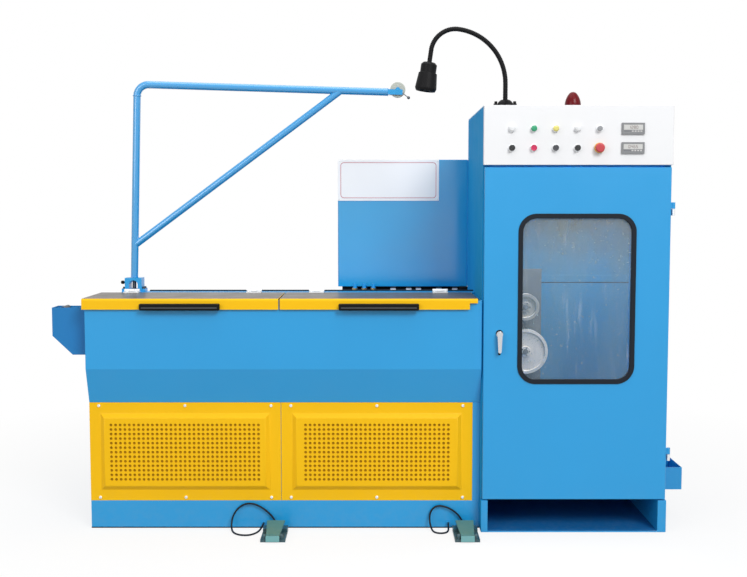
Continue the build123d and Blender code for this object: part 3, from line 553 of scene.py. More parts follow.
@dataclass(frozen=True)
class Finish:
    """One finish: its name, the record's slot, its colour, its gloss and its shine."""

    name: str
    slot: str
    color: Rgb
    roughness: float = 0.4
    shine: float = 0.5

    @cache
    def material(self) -> bpy.types.Material:
        """Give the finish's material, made the first time it is asked for.

        Returns:
            The material.
        """
        nodes = Nodes(self.name)
        self.lay(nodes)
        return nodes.material

    def shade(self, factor: float) -> tuple[float, float, float, float]:
        """Give the finish's colour, lighter or darker by a factor.

        Args:
            factor: More than one is lighter.

        Returns:
            The linear colour.
        """
        red, green, blue, alpha = linear(self.color)
        return (min(red * factor, 1), min(green * factor, 1), min(blue * factor, 1), alpha)

    def lay(self, nodes: Nodes) -> None:
        """Lay a moulded surface: a fine grain with slightly uneven colour.

        Args:
            nodes: The material's nodes.
        """
        cloud = nodes.noise(14, 4)
        nodes.settle(
            base_color=nodes.blend(cloud, self.shade(0.88), self.shade(1.12)),
            roughness=nodes.spread(cloud, self.roughness - 0.06, self.roughness + 0.06),
            specular_ior_level=self.shine,
        )
        nodes.relief(nodes.noise(900, 2), depth=0.0002, strength=0.15)


@dataclass(frozen=True)
class Paint(Finish):
    """Gloss enamel with a faint orange peel, uneven gloss and dust near the floor."""

    dust: float = 0.05
    coat: float = 0.30
    dust_height: float = 0.22
    dust_color: Rgb = (164, 160, 150)

    def lay(self, nodes: Nodes) -> None:
        """Lay the enamel.

        Args:
            nodes: The material's nodes.
        """
        cloud = nodes.noise(1.7, 4)
        peel = nodes.noise(260, 2)
        enamel = nodes.blend(cloud, self.shade(0.95), self.shade(1.05))
        low = nodes.spread(nodes.height(), self.dust, 0.0, 0.0, self.dust_height)
        speck = nodes.spread(nodes.noise(38, 6), 0.0, 1.0, 0.42, 0.7)
        film = nodes.combine("MULTIPLY", low, speck)
        nodes.settle(
            base_color=nodes.blend(film, enamel, linear(self.dust_color)),
            roughness=nodes.spread(nodes.noise(9, 5), self.roughness - 0.05, self.roughness + 0.07),
            coat_weight=self.coat,
            coat_roughness=COAT_ROUGHNESS,
            specular_ior_level=self.shine,
        )
        nodes.relief(peel, depth=0.0004, strength=0.04)


@dataclass(frozen=True)
class Metal(Finish):
    """Bare or plated metal with fine lines along one way."""

    lines: tuple[float, float, float] = (6, 60, 60)
    metallic: float = 1.0

    def lay(self, nodes: Nodes) -> None:
        """Lay the metal.

        Args:
            nodes: The material's nodes.
        """
        scratch = nodes.noise(22, 5, self.lines)
        cloud = nodes.noise(7, 4)
        nodes.settle(
            base_color=nodes.blend(cloud, self.shade(0.82), self.shade(1.15)),
            roughness=nodes.spread(scratch, self.roughness - 0.08, self.roughness + 0.12),
            metallic=self.metallic,
        )
        nodes.relief(scratch, depth=0.0002, strength=0.25)


@dataclass(frozen=True)
class Turned(Finish):
    """Metal turned on a lathe, with rings about the wheel's axle."""

    centre: tuple[float, float, float] = (0.0, 0.0, 0.0)
    ring_scale: float = 180.0
    waver: float = 0.6
    metallic: float = 0.25

    def lay(self, nodes: Nodes) -> None:
        """Lay the turned metal.

        Args:
            nodes: The material's nodes.
        """
        wave = nodes.add("ShaderNodeTexWave", wave_type="RINGS", rings_direction="Y")
        nodes.feed(wave.inputs["Vector"], nodes.mapped((1, 1, 1), tuple(-value for value in self.centre)))
        wave.inputs["Scale"].default_value = self.ring_scale
        wave.inputs["Distortion"].default_value = self.waver
        rings = wave.outputs["Fac"]
        cloud = nodes.noise(26, 4)
        nodes.settle(
            base_color=nodes.blend(cloud, self.shade(0.8), self.shade(1.12)),
            roughness=nodes.spread(rings, self.roughness - 0.06, self.roughness + 0.1, 0.0, 1.0),
            metallic=self.metallic,
        )
        nodes.relief(rings, depth=0.0003, strength=0.3)


@dataclass(frozen=True)
class Glazing(Finish):
    """A sheet of glass with wiped dust, scratches, and a warm-grey film that grows towards its head: painted shade
    for the dim top of the cabinet's inside.
    """

    clear: float = 0.10
    dusty: float = 0.42
    foot: float = 0.95
    head: float = 1.40
    # Painted shade at the glass's top: its amount, the heights where it starts and ends, and its colour.
    top_shade: float = 0.40
    top_shade_foot: float = 1.08
    top_shade_head: float = 1.35
    top_shade_color: Rgb = (124, 116, 100)
    scratch_color: Rgb = (206, 216, 222)

    def lay(self, nodes: Nodes) -> None:
        """Lay the glass.

        Args:
            nodes: The material's nodes.
        """
        wipe = nodes.noise(4, 8, (1.6, 1, 0.8))
        streak = nodes.noise(15, 5, (2.2, 1, 0.5))
        scratch = nodes.spread(nodes.noise(26, 4, (2.0, 1, 0.22)), 0.0, 0.09, 0.58, 0.80)
        speck = nodes.spread(nodes.noise(120, 1), 0.0, 0.6, 0.70, 0.75)
        settled = nodes.spread(nodes.height(), 0.40, 1.0, self.foot, self.head)
        wiped = nodes.spread(wipe, 0.2, 1.0, 0.38, 0.66)
        film = nodes.combine("MULTIPLY", wiped, nodes.spread(streak, 0.5, 1.0))
        film = nodes.combine("MULTIPLY", film, settled)
        haze = nodes.spread(film, self.clear, self.dusty, 0.0, 1.0)
        haze = nodes.combine("ADD", haze, scratch)
        # Painted shade: a warm-grey film, thicker towards the top of the glass, stands in for the shade in the
        # upper inside of the cabinet.
        rising = nodes.spread(nodes.height(), 0.0, self.top_shade, self.top_shade_foot, self.top_shade_head)
        top_shade = nodes.combine("MULTIPLY", rising, nodes.spread(nodes.noise(6, 6), 0.6, 1.0))
        haze = nodes.combine("ADD", haze, top_shade)
        marked = nodes.spread(scratch, 0.0, 1.0, 0.0, 0.1)
        pane = nodes.blend(marked, self.shade(1.0), linear(self.scratch_color))
        top_shade_share = nodes.spread(top_shade, 0.0, 0.9, 0.0, self.top_shade)
        nodes.settle(
            base_color=nodes.blend(top_shade_share, pane, linear(self.top_shade_color)),
            alpha=nodes.combine("ADD", haze, speck),
            roughness=nodes.spread(film, 0.08, 0.35, 0.0, 1.0),
            specular_ior_level=self.shine,
        )


@dataclass(frozen=True)
class Lens(Finish):
    """Coloured moulded plastic with a gloss coat."""

    coat: float = 0.3

    def lay(self, nodes: Nodes) -> None:
        """Lay the lens.

        Args:
            nodes: The material's nodes.
        """
        cloud = nodes.noise(60, 3)
        nodes.settle(
            base_color=nodes.blend(cloud, self.shade(0.85), self.shade(1.15)),
            roughness=nodes.spread(cloud, self.roughness - 0.05, self.roughness + 0.05),
            coat_weight=self.coat,
            coat_roughness=COAT_ROUGHNESS,
            specular_ior_level=self.shine,
        )
        nodes.relief(nodes.noise(420, 2), depth=0.0003, strength=0.3)


BLUE = Paint("machine_blue", "blue_paint", (26, 154, 217), 0.38)
SIDE_BLUE = Paint("side_blue", "blue_paint", (36, 156, 214), 0.70, 0.1, coat=0.0)
HOUSING_BLUE = Paint("housing_blue", "blue_paint", (34, 160, 216), 0.16, 0.9, coat=0.4)
ARM_BLUE = Paint("arm_blue", "blue_paint", (24, 150, 214), 0.20, 0.8, coat=1.0)
# Painted shade: a darker, greyer copy of the machine blue for the dim inside of the cabinet.
SHADED_INSIDE_BLUE = Paint("inside_blue", "blue_paint", (66, 140, 174), 0.55, 0.2, coat=0.0)
# Painted shade: a darker copy of the machine blue for the plinth's shaded inner floor.
PLINTH_SHADE_BLUE = Paint("plinth_inside_blue", "blue_paint", (22, 100, 158), 0.60, 0.1, coat=0.0)
YELLOW = Paint("machine_yellow", "yellow_paint", (248, 193, 16), 0.42, 0.2, coat=0.0)
# Painted shade: a darker copy of the yellow for the sheet seen through the perforation.
VENT_SHADE_YELLOW = Paint("vent_inner_sheet", "yellow_paint", (196, 142, 24), 0.60, 0.1, coat=0.0)
BORDER_RED = Paint("plate_border", "red_plastic", (206, 140, 150), 0.40, 0.3, dust=0.0)
# Painted shadow: the colour of dark strips laid where shade falls.
SHADOW_STRIP = Finish("seam_shadow", "rubber", (16, 30, 52), 0.7, 0.1)
WHITE = Paint("panel_white", "white_paint", (238, 239, 241), 0.38, 0.2, dust=0.0, coat=0.0)
# Painted light: a lighter copy of the panel white for the name plate, which sits back on the housing.
PLATE_LIT_WHITE = Paint("plate_white", "white_paint", (252, 253, 255), 0.34, 0.2, dust=0.0, coat=0.0)
GREY = Paint("column_grey", "grey_paint", (100, 103, 108), 0.45, dust=0.1)
# Painted reflection: a taupe-grey copy of the yellow paint for the lids' tops.
LID_TOP_REFLECTION = Paint("lid_top_grey", "yellow_paint", (92, 84, 76), 0.42, 0.3, dust=0.0, coat=0.1)
# Painted shade: a darker copy of the machine blue for the wire inlet box.
SHADED_INLET_BLUE = Paint("inlet_blue", "blue_paint", (26, 120, 184), 0.42, 0.3, coat=0.10)
CHROME = Metal("lever_chrome", "zinc", (206, 209, 213), 0.18)
ZINC = Metal("zinc_plate", "zinc", (232, 234, 236), 0.42, metallic=0.6)
STEEL = Metal("machined_steel", "bright_steel", (200, 202, 205), 0.28)
DARK_STEEL = Metal("dark_steel", "bright_steel", (92, 95, 100), 0.45)
WEB_STEEL = Metal("sheave_web_steel", "bright_steel", (172, 166, 158), 0.45, metallic=0.3)
BRASS = Metal("bare_brass", "brass", (214, 172, 96), 0.30)
BLACK = Finish("black_moulding", "black_plastic", (9, 9, 10), 0.40, 0.15)
# Painted highlight: a grey strip along the black grips.
GRIP_HIGHLIGHT = Finish("grip_insert", "black_plastic", (72, 72, 76), 0.34, 0.4)
ENAMEL = Finish("lamp_black", "black_enamel", (10, 10, 12), 0.50, 0.15)
# Rubber of the window seal; also the dark strip along the hinge rail, which is painted shade.
RUBBER_AND_RAIL_SHADE = Finish("seal_rubber", "rubber", (26, 32, 40), 0.58, 0.16)
NYLON = Finish("sheave_nylon", "bright_steel", (186, 190, 180), 0.38)
GLASS = Glazing("dusty_glass", "glass", (144, 166, 172))
DOME = Lens("red_dome", "red_plastic", (104, 6, 16), 0.30, 0.15, coat=0.05)
STOP_RED = Lens("stop_red", "red_plastic", (196, 60, 66), 0.34)
SHEATH = Finish("cord_sheath", "cord_pvc", (18, 26, 38), 0.45, 0.2)
TEAL = Paint("pedal_teal", "pedal_green", (84, 130, 126), 0.48, 0.2, dust=0.08, coat=0.1)
# Painted light: a lighter copy of the pedal teal for the treadles' front lips.
TEAL_LIT_LIP = Paint("pedal_lip", "pedal_green", (112, 172, 174), 0.45, dust=0.05)
# Painted shade: a darker copy of the pedal teal for the switches' bases.
TEAL_SHADED_BASE = Paint("pedal_base_teal", "pedal_green", (34, 74, 84), 0.48, dust=0.12)


def paint(piece: Piece, finish: Finish, body: str, nodes: Sequence[str] = ()) -> Piece:
    """Give a piece its finish and hang it on a body.

    Args:
        piece: The piece.
        finish: Its finish.
        body: The body that it moves with.
        nodes: The solids that it stands for.

    Returns:
        The same piece.
    """
    piece.data.materials.clear()
    piece.data.materials.append(finish.material())
    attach(piece, body)
    if nodes:
        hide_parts(*nodes)
    log.info("%s rides on %s", piece.name, body)
    return piece


def touch_up(piece: Piece, finish: Finish, test: Callable[[bpy.types.MeshPolygon], bool]) -> None:
    """Give some faces of a painted piece another finish.

    Args:
        piece: The piece.
        finish: The finish of those faces.
        test: Says whether a face gets it.
    """
    piece.data.materials.append(finish.material())
    index = len(piece.data.materials) - 1
    for face in piece.data.polygons:
        if test(face):
            face.material_index = index


def dress(node: str, finish: Finish, edge: float = 0.0, segments: int = 2, angle: float = 35.0) -> Piece:
    """Stand a finished copy of a solid in its place, with its edges softened.

    Args:
        node: The solid's name.
        finish: The finish of the copy.
        edge: Width of the rounding of its edges.
        segments: Steps across the rounding.
        angle: Edges sharper than this, in degrees, are rounded.

    Returns:
        The copy.
    """
    piece = copy_of(frame["nodes"][node], f"{node}_dressed")
    weld = 1e-5
    flat = math.radians(0.4)
    take(piece)
    bpy.ops.mesh.customdata_custom_splitnormals_clear()
    with picked(piece, Kind.FACE, everything):
        bpy.ops.mesh.remove_doubles(threshold=weld)
        bpy.ops.mesh.dissolve_limited(angle_limit=flat)
    soften(piece, edge, segments, angle)
    return paint(piece, finish, BODY_OF[node], [node])


# Sub-assemblies


@dataclass
class Bed:
    """The drawing bed: skirt, rear case, tank and hinge rail."""

    edge: float = 0.002
    bend: float = 12.0
    shade_strip_gap: float = 0.012
    shade_strip_width: float = 0.014
    shade_strip_height: float = 0.005
    foot_height: float = 0.005
    foot_depth: float = 0.004
    foot_proud: float = 0.001
    cone_edge: float = 0.0008
    shade_strip_edge: float = 0.0015
    nodes: tuple[str, ...] = (
        "bed_base",
        "bed_rear_case",
        "bed_side_walls",
        "tank_front",
        "tank_floor",
        "bed_front_posts",
        "hinge_rail",
    )

    def build(self) -> None:
        """Dress the bed's sheet metal and its cones, and lay two dark strips: painted shade along the hinge rail
        and a painted contact shadow along the skirt's foot.
        """
        for node in self.nodes:
            dress(node, BLUE, self.edge, angle=self.bend)
        dress("drawing_cones", STEEL, self.cone_edge, 1)
        # A dark strip along the hinge rail's top: painted shade behind the lids.
        _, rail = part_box("hinge_rail")
        _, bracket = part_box("arm_bracket")
        seal = cuboid(
            "rail_seal",
            (bracket.x + self.shade_strip_gap, rail.y - self.shade_strip_width, rail.z),
            (rail.x, rail.y, rail.z + self.shade_strip_height),
        )
        paint(soften(seal, self.shade_strip_edge), RUBBER_AND_RAIL_SHADE, MACHINE)
        # A dark strip along the skirt's foot: painted contact shadow on the floor.
        low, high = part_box("bed_base")
        foot = cuboid(
            "floor_seal",
            (low.x, low.y - self.foot_proud, 0),
            (high.x, low.y + self.foot_depth, self.foot_height),
        )
        paint(soften(foot, self.foot_proud / 2, 1), SHADOW_STRIP, MACHINE)


@dataclass
class VentPanel:
    """One pressed and perforated panel of the bed's front, with its screws."""

    node: str
    columns: int
    rows: int = 13
    pitch: float = 0.020
    hole: float = 0.0062
    backing: float = 0.0015
    backing_gap: float = 0.004
    sides: int = 12
    sheet: float = 0.003
    margin: float = 0.047
    slope: float = 0.020
    rise: float = 0.015
    bend: float = 0.003
    screw_end: float = 0.042
    screw_edge: float = 0.014
    screw_radius: float = 0.0065
    screw_height: float = 0.004
    fold: float = 40.0
    near: float = 1e-4

    def __post_init__(self) -> None:
        """Read the panel's place from its solid."""
        self.low, self.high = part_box(self.node)
        self.middle = (self.low + self.high) / 2
        self.face = self.high.y - self.sheet
        self.top = self.face - self.rise

    def cell(self) -> Piece:
        """Model one square of the perforation: a ring between a hole and the square.

        Returns:
            The square, about the origin.
        """
        half = self.pitch / 2
        deselect_all()
        bpy.ops.mesh.primitive_circle_add(
            vertices=self.sides,
            radius=self.hole,
            rotation=(math.pi / 2, 0, 0),
        )
        ring = new_piece("vent_cell")
        ring.data.transform(Matrix.Rotation(math.pi / self.sides, 4, "Y"))
        with picked(ring, Kind.EDGE, everything):
            bpy.ops.mesh.extrude_edges_move()
            grow = 1.5
            bpy.ops.transform.resize(value=(grow, grow, grow))
        for vertex in ring.data.vertices:
            if vertex.co.length > self.hole * (1 + grow) / 2:
                vertex.co *= half / max(abs(vertex.co.x), abs(vertex.co.z))
        return ring

    def block(self) -> Piece:
        """Repeat the cell over the perforated field.

        Returns:
            The field, in its place.
        """
        holes = self.cell()
        across = self.pitch * (self.columns - 1) / 2
        up = self.pitch * (self.rows - 1) / 2
        for count, step in ((self.columns, (self.pitch, 0, 0)), (self.rows, (0, 0, self.pitch))):
            apply_modifier(
                holes,
                "ARRAY",
                count=count,
                use_relative_offset=False,
                use_constant_offset=True,
                constant_offset_displace=step,
                use_merge_vertices=True,
                merge_threshold=self.pitch / 200,
            )
        corner = (self.middle.x - across, self.top, self.middle.z - up)
        holes.data.transform(Matrix.Translation(corner))
        return holes

    def border(self) -> Piece:
        """Press the panel's border: flange, sloping sides and the raised rim of the field.

        Returns:
            The border, open where the field goes.
        """
        deselect_all()
        size = self.high - self.low
        place = (self.middle.x, self.face, self.middle.z)
        bpy.ops.mesh.primitive_plane_add(size=1, location=place, rotation=(math.pi / 2, 0, 0))
        sheet = bpy.context.object
        sheet.scale = (size.x, size.z, 1)
        sheet = new_piece("vent_border")
        with picked(sheet, Kind.FACE, everything):
            bpy.ops.mesh.inset(thickness=self.margin)
            bpy.ops.mesh.inset(thickness=self.slope, depth=self.rise)
        half = size / 2 - Vector((self.margin, 0, self.margin))
        near = self.near

        def pressed(edge: bpy.types.MeshEdge) -> bool:
            """Tell the foot and the top of the sloping sides from the other edges.

            Args:
                edge: An edge of the sheet.

            Returns:
                Whether the press bends it.
            """
            ends = [sheet.data.vertices[i].co - self.middle for i in edge.vertices]
            inside = all(abs(e.x) < half.x + near and abs(e.z) < half.z + near for e in ends)
            level = abs(ends[0].y - ends[1].y) < near
            return inside and level

        with picked(sheet, Kind.EDGE, pressed):
            bpy.ops.mesh.bevel(offset=self.bend, segments=3)
        with picked(sheet, Kind.FACE, lambda f: (Vector(f.center) - self.middle).xz.length < near * 10):
            bpy.ops.mesh.delete(type="FACE")
        return sheet

    def build(self) -> None:
        """Make the panel from its border and its perforated field, and screw it on."""
        name = f"{self.node}_perforated"
        panel = join(name, [self.border(), self.block()])
        near = self.near
        half_x = self.pitch * self.columns / 2 - near
        half_z = self.pitch * self.rows / 2 - near

        def rim(edge: bpy.types.MeshEdge) -> bool:
            """Tell the field's outline and the border's opening from the other edges.

            Args:
                edge: An edge of the panel.

            Returns:
                Whether it lies beside the gap.
            """
            ends = [panel.data.vertices[i].co - self.middle for i in edge.vertices]
            level = all(abs(e.y + self.middle.y - self.top) < near for e in ends)
            same_x = abs(ends[0].x - ends[1].x) < near and abs(ends[0].x) > half_x
            same_z = abs(ends[0].z - ends[1].z) < near and abs(ends[0].z) > half_z
            return level and (same_x or same_z)

        with picked(panel, Kind.EDGE, rim):
            bpy.ops.mesh.fill(use_beauty=False)
        with picked(panel, Kind.FACE, everything):
            bpy.ops.mesh.remove_doubles(threshold=near / 10)
            bpy.ops.mesh.normals_make_consistent(inside=False)
        if sum(face.normal.y * face.area for face in panel.data.polygons) > 0:
            panel.data.flip_normals()
        apply_modifier(panel, "SOLIDIFY", thickness=self.sheet, offset=-1.0)
        soften(panel, 0, angle=self.fold)
        paint(panel, YELLOW, MACHINE, [self.node])
        places = [
            facing((x, self.face, z), FRONT)
            for x in (self.low.x + self.screw_end, self.middle.x, self.high.x - self.screw_end)
            for z in (self.low.z + self.screw_edge, self.high.z - self.screw_edge)
        ]
        screw = screw_head(self.screw_radius, self.screw_height)
        paint(stamp(screw, f"{self.node}_screws", places), ZINC, MACHINE)
        self.inner_sheet()

    def inner_sheet(self) -> None:
        """Set the flat inner sheet that shows through the perforation, in a darker yellow that is painted shade
        behind the holes.
        """
        reach = Vector((self.pitch * self.columns, 0, self.pitch * self.rows)) / 2
        start = self.top + self.sheet + self.backing_gap
        low = self.middle - reach
        high = self.middle + reach
        sheet = cuboid(
            f"{self.node}_inner_sheet",
            (low.x, start, low.z),
            (high.x, start + self.backing, high.z),
        )
        paint(soften(sheet, self.backing / 4, 1), VENT_SHADE_YELLOW, MACHINE)


@dataclass(frozen=True)
class HingeLeaf:
    """What a lid's moving hinge leaves and the fixed ones share."""

    sheet: float = 0.003
    edge: float = 0.0006
    inset: float = 0.035
    spread: float = 0.024
    screw_radius: float = 0.005
    screw_height: float = 0.003

    def screw_places(self, side: str, back: float) -> list[Matrix]:
        """Give the places of the screws in the two leaves of a lid's side.

        Args:
            side: Left or right.
            back: How far back the screws sit.

        Returns:
            The places.
        """
        low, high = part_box(f"{side}_lid_leaves")
        return [
            facing((x + shift, back, low.z + self.sheet), UP)
            for x in (low.x + self.inset, high.x - self.inset)
            for shift in (-self.spread, self.spread)
        ]

    def screw(self) -> Piece:
        """Model one of the leaves' screws."""
        return screw_head(self.screw_radius, self.screw_height)


@dataclass
class Lid:
    """One lid of the tank with its grip and its hinge leaves."""

    side: str
    leaf: HingeLeaf = HingeLeaf()
    sheet_edge: float = 0.0009
    top_share: float = 0.94
    grip_edge: float = 0.004
    highlight_height: float = 0.005
    highlight_depth: float = 0.002
    highlight_drop: float = 0.003
    highlight_proud: float = 0.001
    highlight_inset: float = 0.010
    highlight_edge: float = 0.0014
    screw_reach: float = 0.010

    def build(self) -> None:
        """Dress the lid with a taupe-grey top as painted reflection, lay a grey strip along its grip as painted
        highlight, and screw its hinge leaves on.
        """
        name = f"{self.side}_lid"
        lid = dress(name, YELLOW, self.sheet_edge)
        # The lid's top faces get the taupe-grey copy of the yellow: painted reflection.
        touch_up(lid, LID_TOP_REFLECTION, toward(UP, share=self.top_share))
        dress(f"{name}_leaves", ZINC, self.leaf.edge, 1)
        dress(f"{name}_handle", BLACK, self.grip_edge, 3)
        # A grey strip along the grip's front: painted highlight.
        low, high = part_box(f"{name}_handle")
        middle = (low.z + high.z) / 2 - self.highlight_drop
        highlight = cuboid(
            f"{name}_grip_insert",
            (low.x + self.highlight_inset, low.y - self.highlight_proud, middle - self.highlight_height / 2),
            (high.x - self.highlight_inset, low.y + self.highlight_depth, middle + self.highlight_height / 2),
        )
        soften(highlight, self.highlight_edge, 3)
        paint(highlight, GRIP_HIGHLIGHT, BODY_OF[name])
        leaf_low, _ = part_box(f"{name}_leaves")
        places = self.leaf.screw_places(self.side, leaf_low.y + self.screw_reach)
        paint(stamp(self.leaf.screw(), f"{name}_leaf_screws", places), ZINC, BODY_OF[name])


@dataclass
class HingePins:
    """The leaves and pins that stay on the hinge rail."""

    leaf: HingeLeaf = HingeLeaf()
    screw_reach: float = 0.008

    def build(self) -> None:
        """Dress the fixed leaves and screw them down."""
        dress("lid_hinge_pins", ZINC, self.leaf.edge, 1)
        _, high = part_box("lid_hinge_pins")
        back = high.y - self.screw_reach
        places = [place for side in ("left", "right") for place in self.leaf.screw_places(side, back)]
        paint(stamp(self.leaf.screw(), "rail_leaf_screws", places), ZINC, MACHINE)


@dataclass
class MotorHousing:
    """The motor housing on its feet, with a bare name plate, and the coolant valves before it."""

    edge: float = 0.003
    feet_edge: float = 0.002
    valve_edge: float = 0.0008
    plate_width: float = 0.496
    plate_height: float = 0.201
    plate_sheet: float = 0.003
    plate_edge: float = 0.0005
    rivet_radius: float = 0.003
    rivet_height: float = 0.0015
    border: float = 0.013
    border_corner: float = 0.017
    border_line: float = 0.0032
    tip: float = 0.006
    seam: float = 0.0035
    pipe_radius: float = 0.011
    pipe_rise: float = 0.045
    pipe_bore_depth: float = 0.004
    pipe_edge: float = 0.0008
    nut_length: float = 0.024
    nut_chamfer: float = 0.002
    nut_shares: tuple[float, ...] = (0.42, 0.55, 0.63, 0.80, 0.93)
    box_overlap: float = 0.02
    box_depth: float = 0.06
    box_rim: float = 0.006
    box_lid: float = 0.003
    box_edge: float = 0.0015

    def build(self) -> None:
        """Dress the housing, rivet the bare plate to its front and close the seam beside it."""
        housing = dress("motor_housing", BLUE, self.edge, 3)
        touch_up(housing, HOUSING_BLUE, toward(FRONT))
        dress("housing_feet", ENAMEL, self.feet_edge)
        valves = dress("coolant_valves", BRASS, self.valve_edge)
        low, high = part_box("motor_housing")
        touch_up(valves, BLUE, lambda face: face.center.z > low.z - self.tip)
        right = low.x + self.plate_width
        bottom = high.z - self.plate_height
        plate = cuboid("bare_name_plate", (low.x, low.y - self.plate_sheet, bottom), (right, low.y, high.z))
        with picked(plate, Kind.FACE, toward(FRONT)):
            bpy.ops.mesh.inset(thickness=self.plate_sheet / 2, depth=self.plate_sheet / 6)
        soften(plate, self.plate_edge, 1)
        # The plate's white is lighter than the panel's: painted light.
        paint(plate, PLATE_LIT_WHITE, MACHINE)
        self.plain_border((low.x, low.y - self.plate_sheet * 7 / 6, bottom), (right, 0, high.z))
        inset = self.border / 2
        places = [
            facing((x, low.y - self.plate_sheet, z), FRONT)
            for x in (low.x + inset, right - inset)
            for z in (bottom + inset, high.z - inset)
        ]
        rivet = screw_head(self.rivet_radius, self.rivet_height)
        paint(stamp(rivet, "name_plate_rivets", places), ZINC, MACHINE)
        self.pipe()
        corner = Vector((high.x, low.y, 0))
        reach = Vector((self.seam, self.seam, 0))
        foot, head = Vector((0, 0, low.z + self.seam)), Vector((0, 0, high.z - self.seam))
        strip = cuboid("housing_seam", corner - reach + foot, corner + reach + head)
        paint(soften(strip, self.seam / 8, 1), BLUE, MACHINE)

    def plain_border(self, low: Sequence[float], high: Sequence[float]) -> None:
        """Lay a thin line with round corners along the plate's edge.

        Args:
            low: The plate's lower left front corner.
            high: Its upper right corner.
        """
        deselect_all()
        width = high[0] - low[0] - 2 * self.border
        height = high[2] - low[2] - 2 * self.border
        middle = ((low[0] + high[0]) / 2, low[1], (low[2] + high[2]) / 2)
        bpy.ops.mesh.primitive_plane_add(size=1, location=middle, rotation=(math.pi / 2, 0, 0))
        bpy.context.object.scale = (width, height, 1)
        line = new_piece("name_plate_border")
        with picked(line, Kind.FACE, everything):
            bpy.ops.mesh.bevel(offset=self.border_corner, segments=6, affect="VERTICES")
            bpy.ops.mesh.inset(thickness=self.border_line)
            bpy.ops.mesh.delete(type="FACE")
        apply_modifier(line, "SOLIDIFY", thickness=self.plate_sheet / 6, offset=1.0)
        paint(soften(line, 0), BORDER_RED, MACHINE)

    def pipe(self) -> None:
        """Lay the coolant pipe with its couplings and junction box before the housing's feet."""
        low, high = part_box("housing_feet")
        z = low.z + self.pipe_rise
        y = low.y - self.pipe_radius
        start, end = (low.x, y, z), (high.x, y, z)
        pipe = rod("coolant_pipe", start, end, self.pipe_radius, sides=20)
        with picked(pipe, Kind.FACE, toward(RIGHT, -RIGHT)):
            bpy.ops.mesh.inset(thickness=self.pipe_radius * 0.3, depth=-self.pipe_bore_depth)
        paint(soften(pipe, self.pipe_edge), ENAMEL, MACHINE)
        half = UP * self.nut_length / 2
        nut = rod("pipe_nut", -half, half, self.pipe_radius * 1.35, sides=6)
        with picked(nut, Kind.FACE, toward(UP, -UP)):
            bpy.ops.mesh.inset(thickness=self.nut_chamfer, depth=self.nut_chamfer)
        soften(nut, self.pipe_edge, 1)
        length = high.x - low.x
        places = [facing((low.x + length * share, y, z), RIGHT) for share in self.nut_shares]
        paint(stamp(nut, "pipe_couplings", places), ZINC, MACHINE)
        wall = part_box("motor_housing")[1].x
        box = cuboid(
            "pipe_junction_box",
            (high.x - self.box_overlap, low.y - self.box_depth / 2, low.z),
            (wall, low.y + self.box_depth / 2, high.z),
        )
        with picked(box, Kind.FACE, toward(FRONT)):
            bpy.ops.mesh.inset(thickness=self.box_rim, depth=self.box_lid)
        paint(soften(box, self.box_edge), ENAMEL, MACHINE)


@dataclass
class GuideArm:
    """The swinging wire guide arm with its bracket, welds, fork and sheave."""

    tube_radius: float = 0.017
    bar_height: float = 0.884
    elbow_bead: float = 0.00294
    fork_bead: float = 0.00189
    fork_edge: float = 0.0008
    sheave_edge: float = 0.0006
    knob_edge: float = 0.002
    bracket_edge: float = 0.0015
    plate_height: float = 0.014
    keeper_start: float = 0.011
    bolt_across: float = 0.011
    bolt_height: float = 0.006
    bolt_inset_x: float = 0.008
    bolt_inset_y: float = 0.012

    def build(self) -> None:
        """Dress the arm's tubes, weld them and bolt the bracket down."""
        for node in ("arm_bar", "arm_brace"):
            dress(node, ARM_BLUE)
        post = dress("arm_post", ARM_BLUE)
        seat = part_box("arm_bracket")[1].z
        touch_up(post, DARK_STEEL, lambda face: face.center.z < seat)
        fork = dress("arm_fork", BLUE, self.fork_edge)
        _, sheave_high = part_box("arm_sheave")
        touch_up(fork, DARK_STEEL, lambda face: face.center.x > sheave_high.x - self.keeper_start)
        dress("arm_sheave", NYLON, self.sheave_edge, 1)
        dress("arm_lock_knob", BLACK, self.knob_edge)
        dress("arm_bracket", BLUE, self.bracket_edge)
        low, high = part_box("arm_bracket")
        top = low.z + self.plate_height
        places = [
            facing((x, y, top), UP)
            for x in (low.x + self.bolt_inset_x, high.x - self.bolt_inset_x)
            for y in (low.y + self.bolt_inset_y, high.y - self.bolt_inset_y)
        ]
        bolt = hex_bolt(self.bolt_across, self.bolt_height)
        paint(stamp(bolt, "bracket_bolts", places), DARK_STEEL, MACHINE)
        self.weld()

    def weld(self) -> None:
        """Weld the bar's bend to the post and the fork to the bar."""
        joint = next(j for j in frame["joints"] if j["child"] == "arm")
        foot = Vector(joint["pos_m"])
        up = Vector(joint["axis"])
        along = Vector((up.z, 0, -up.x))
        _, post_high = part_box("arm_post")
        bend_foot = (post_high.z - foot.z) / up.z
        elbow = facing(foot + up * bend_foot, up)
        fork_low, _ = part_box("arm_fork")
        reach = (fork_low.x - foot.x - self.bar_height * up.x) / along.x
        bar_end = foot + up * self.bar_height + along * reach
        beads = [
            weld_bead("weld_elbow", elbow, self.tube_radius, self.elbow_bead),
            weld_bead("weld_fork", facing(bar_end, along), self.tube_radius, self.fork_bead),
        ]
        paint(join("arm_welds", beads), ARM_BLUE, "arm")


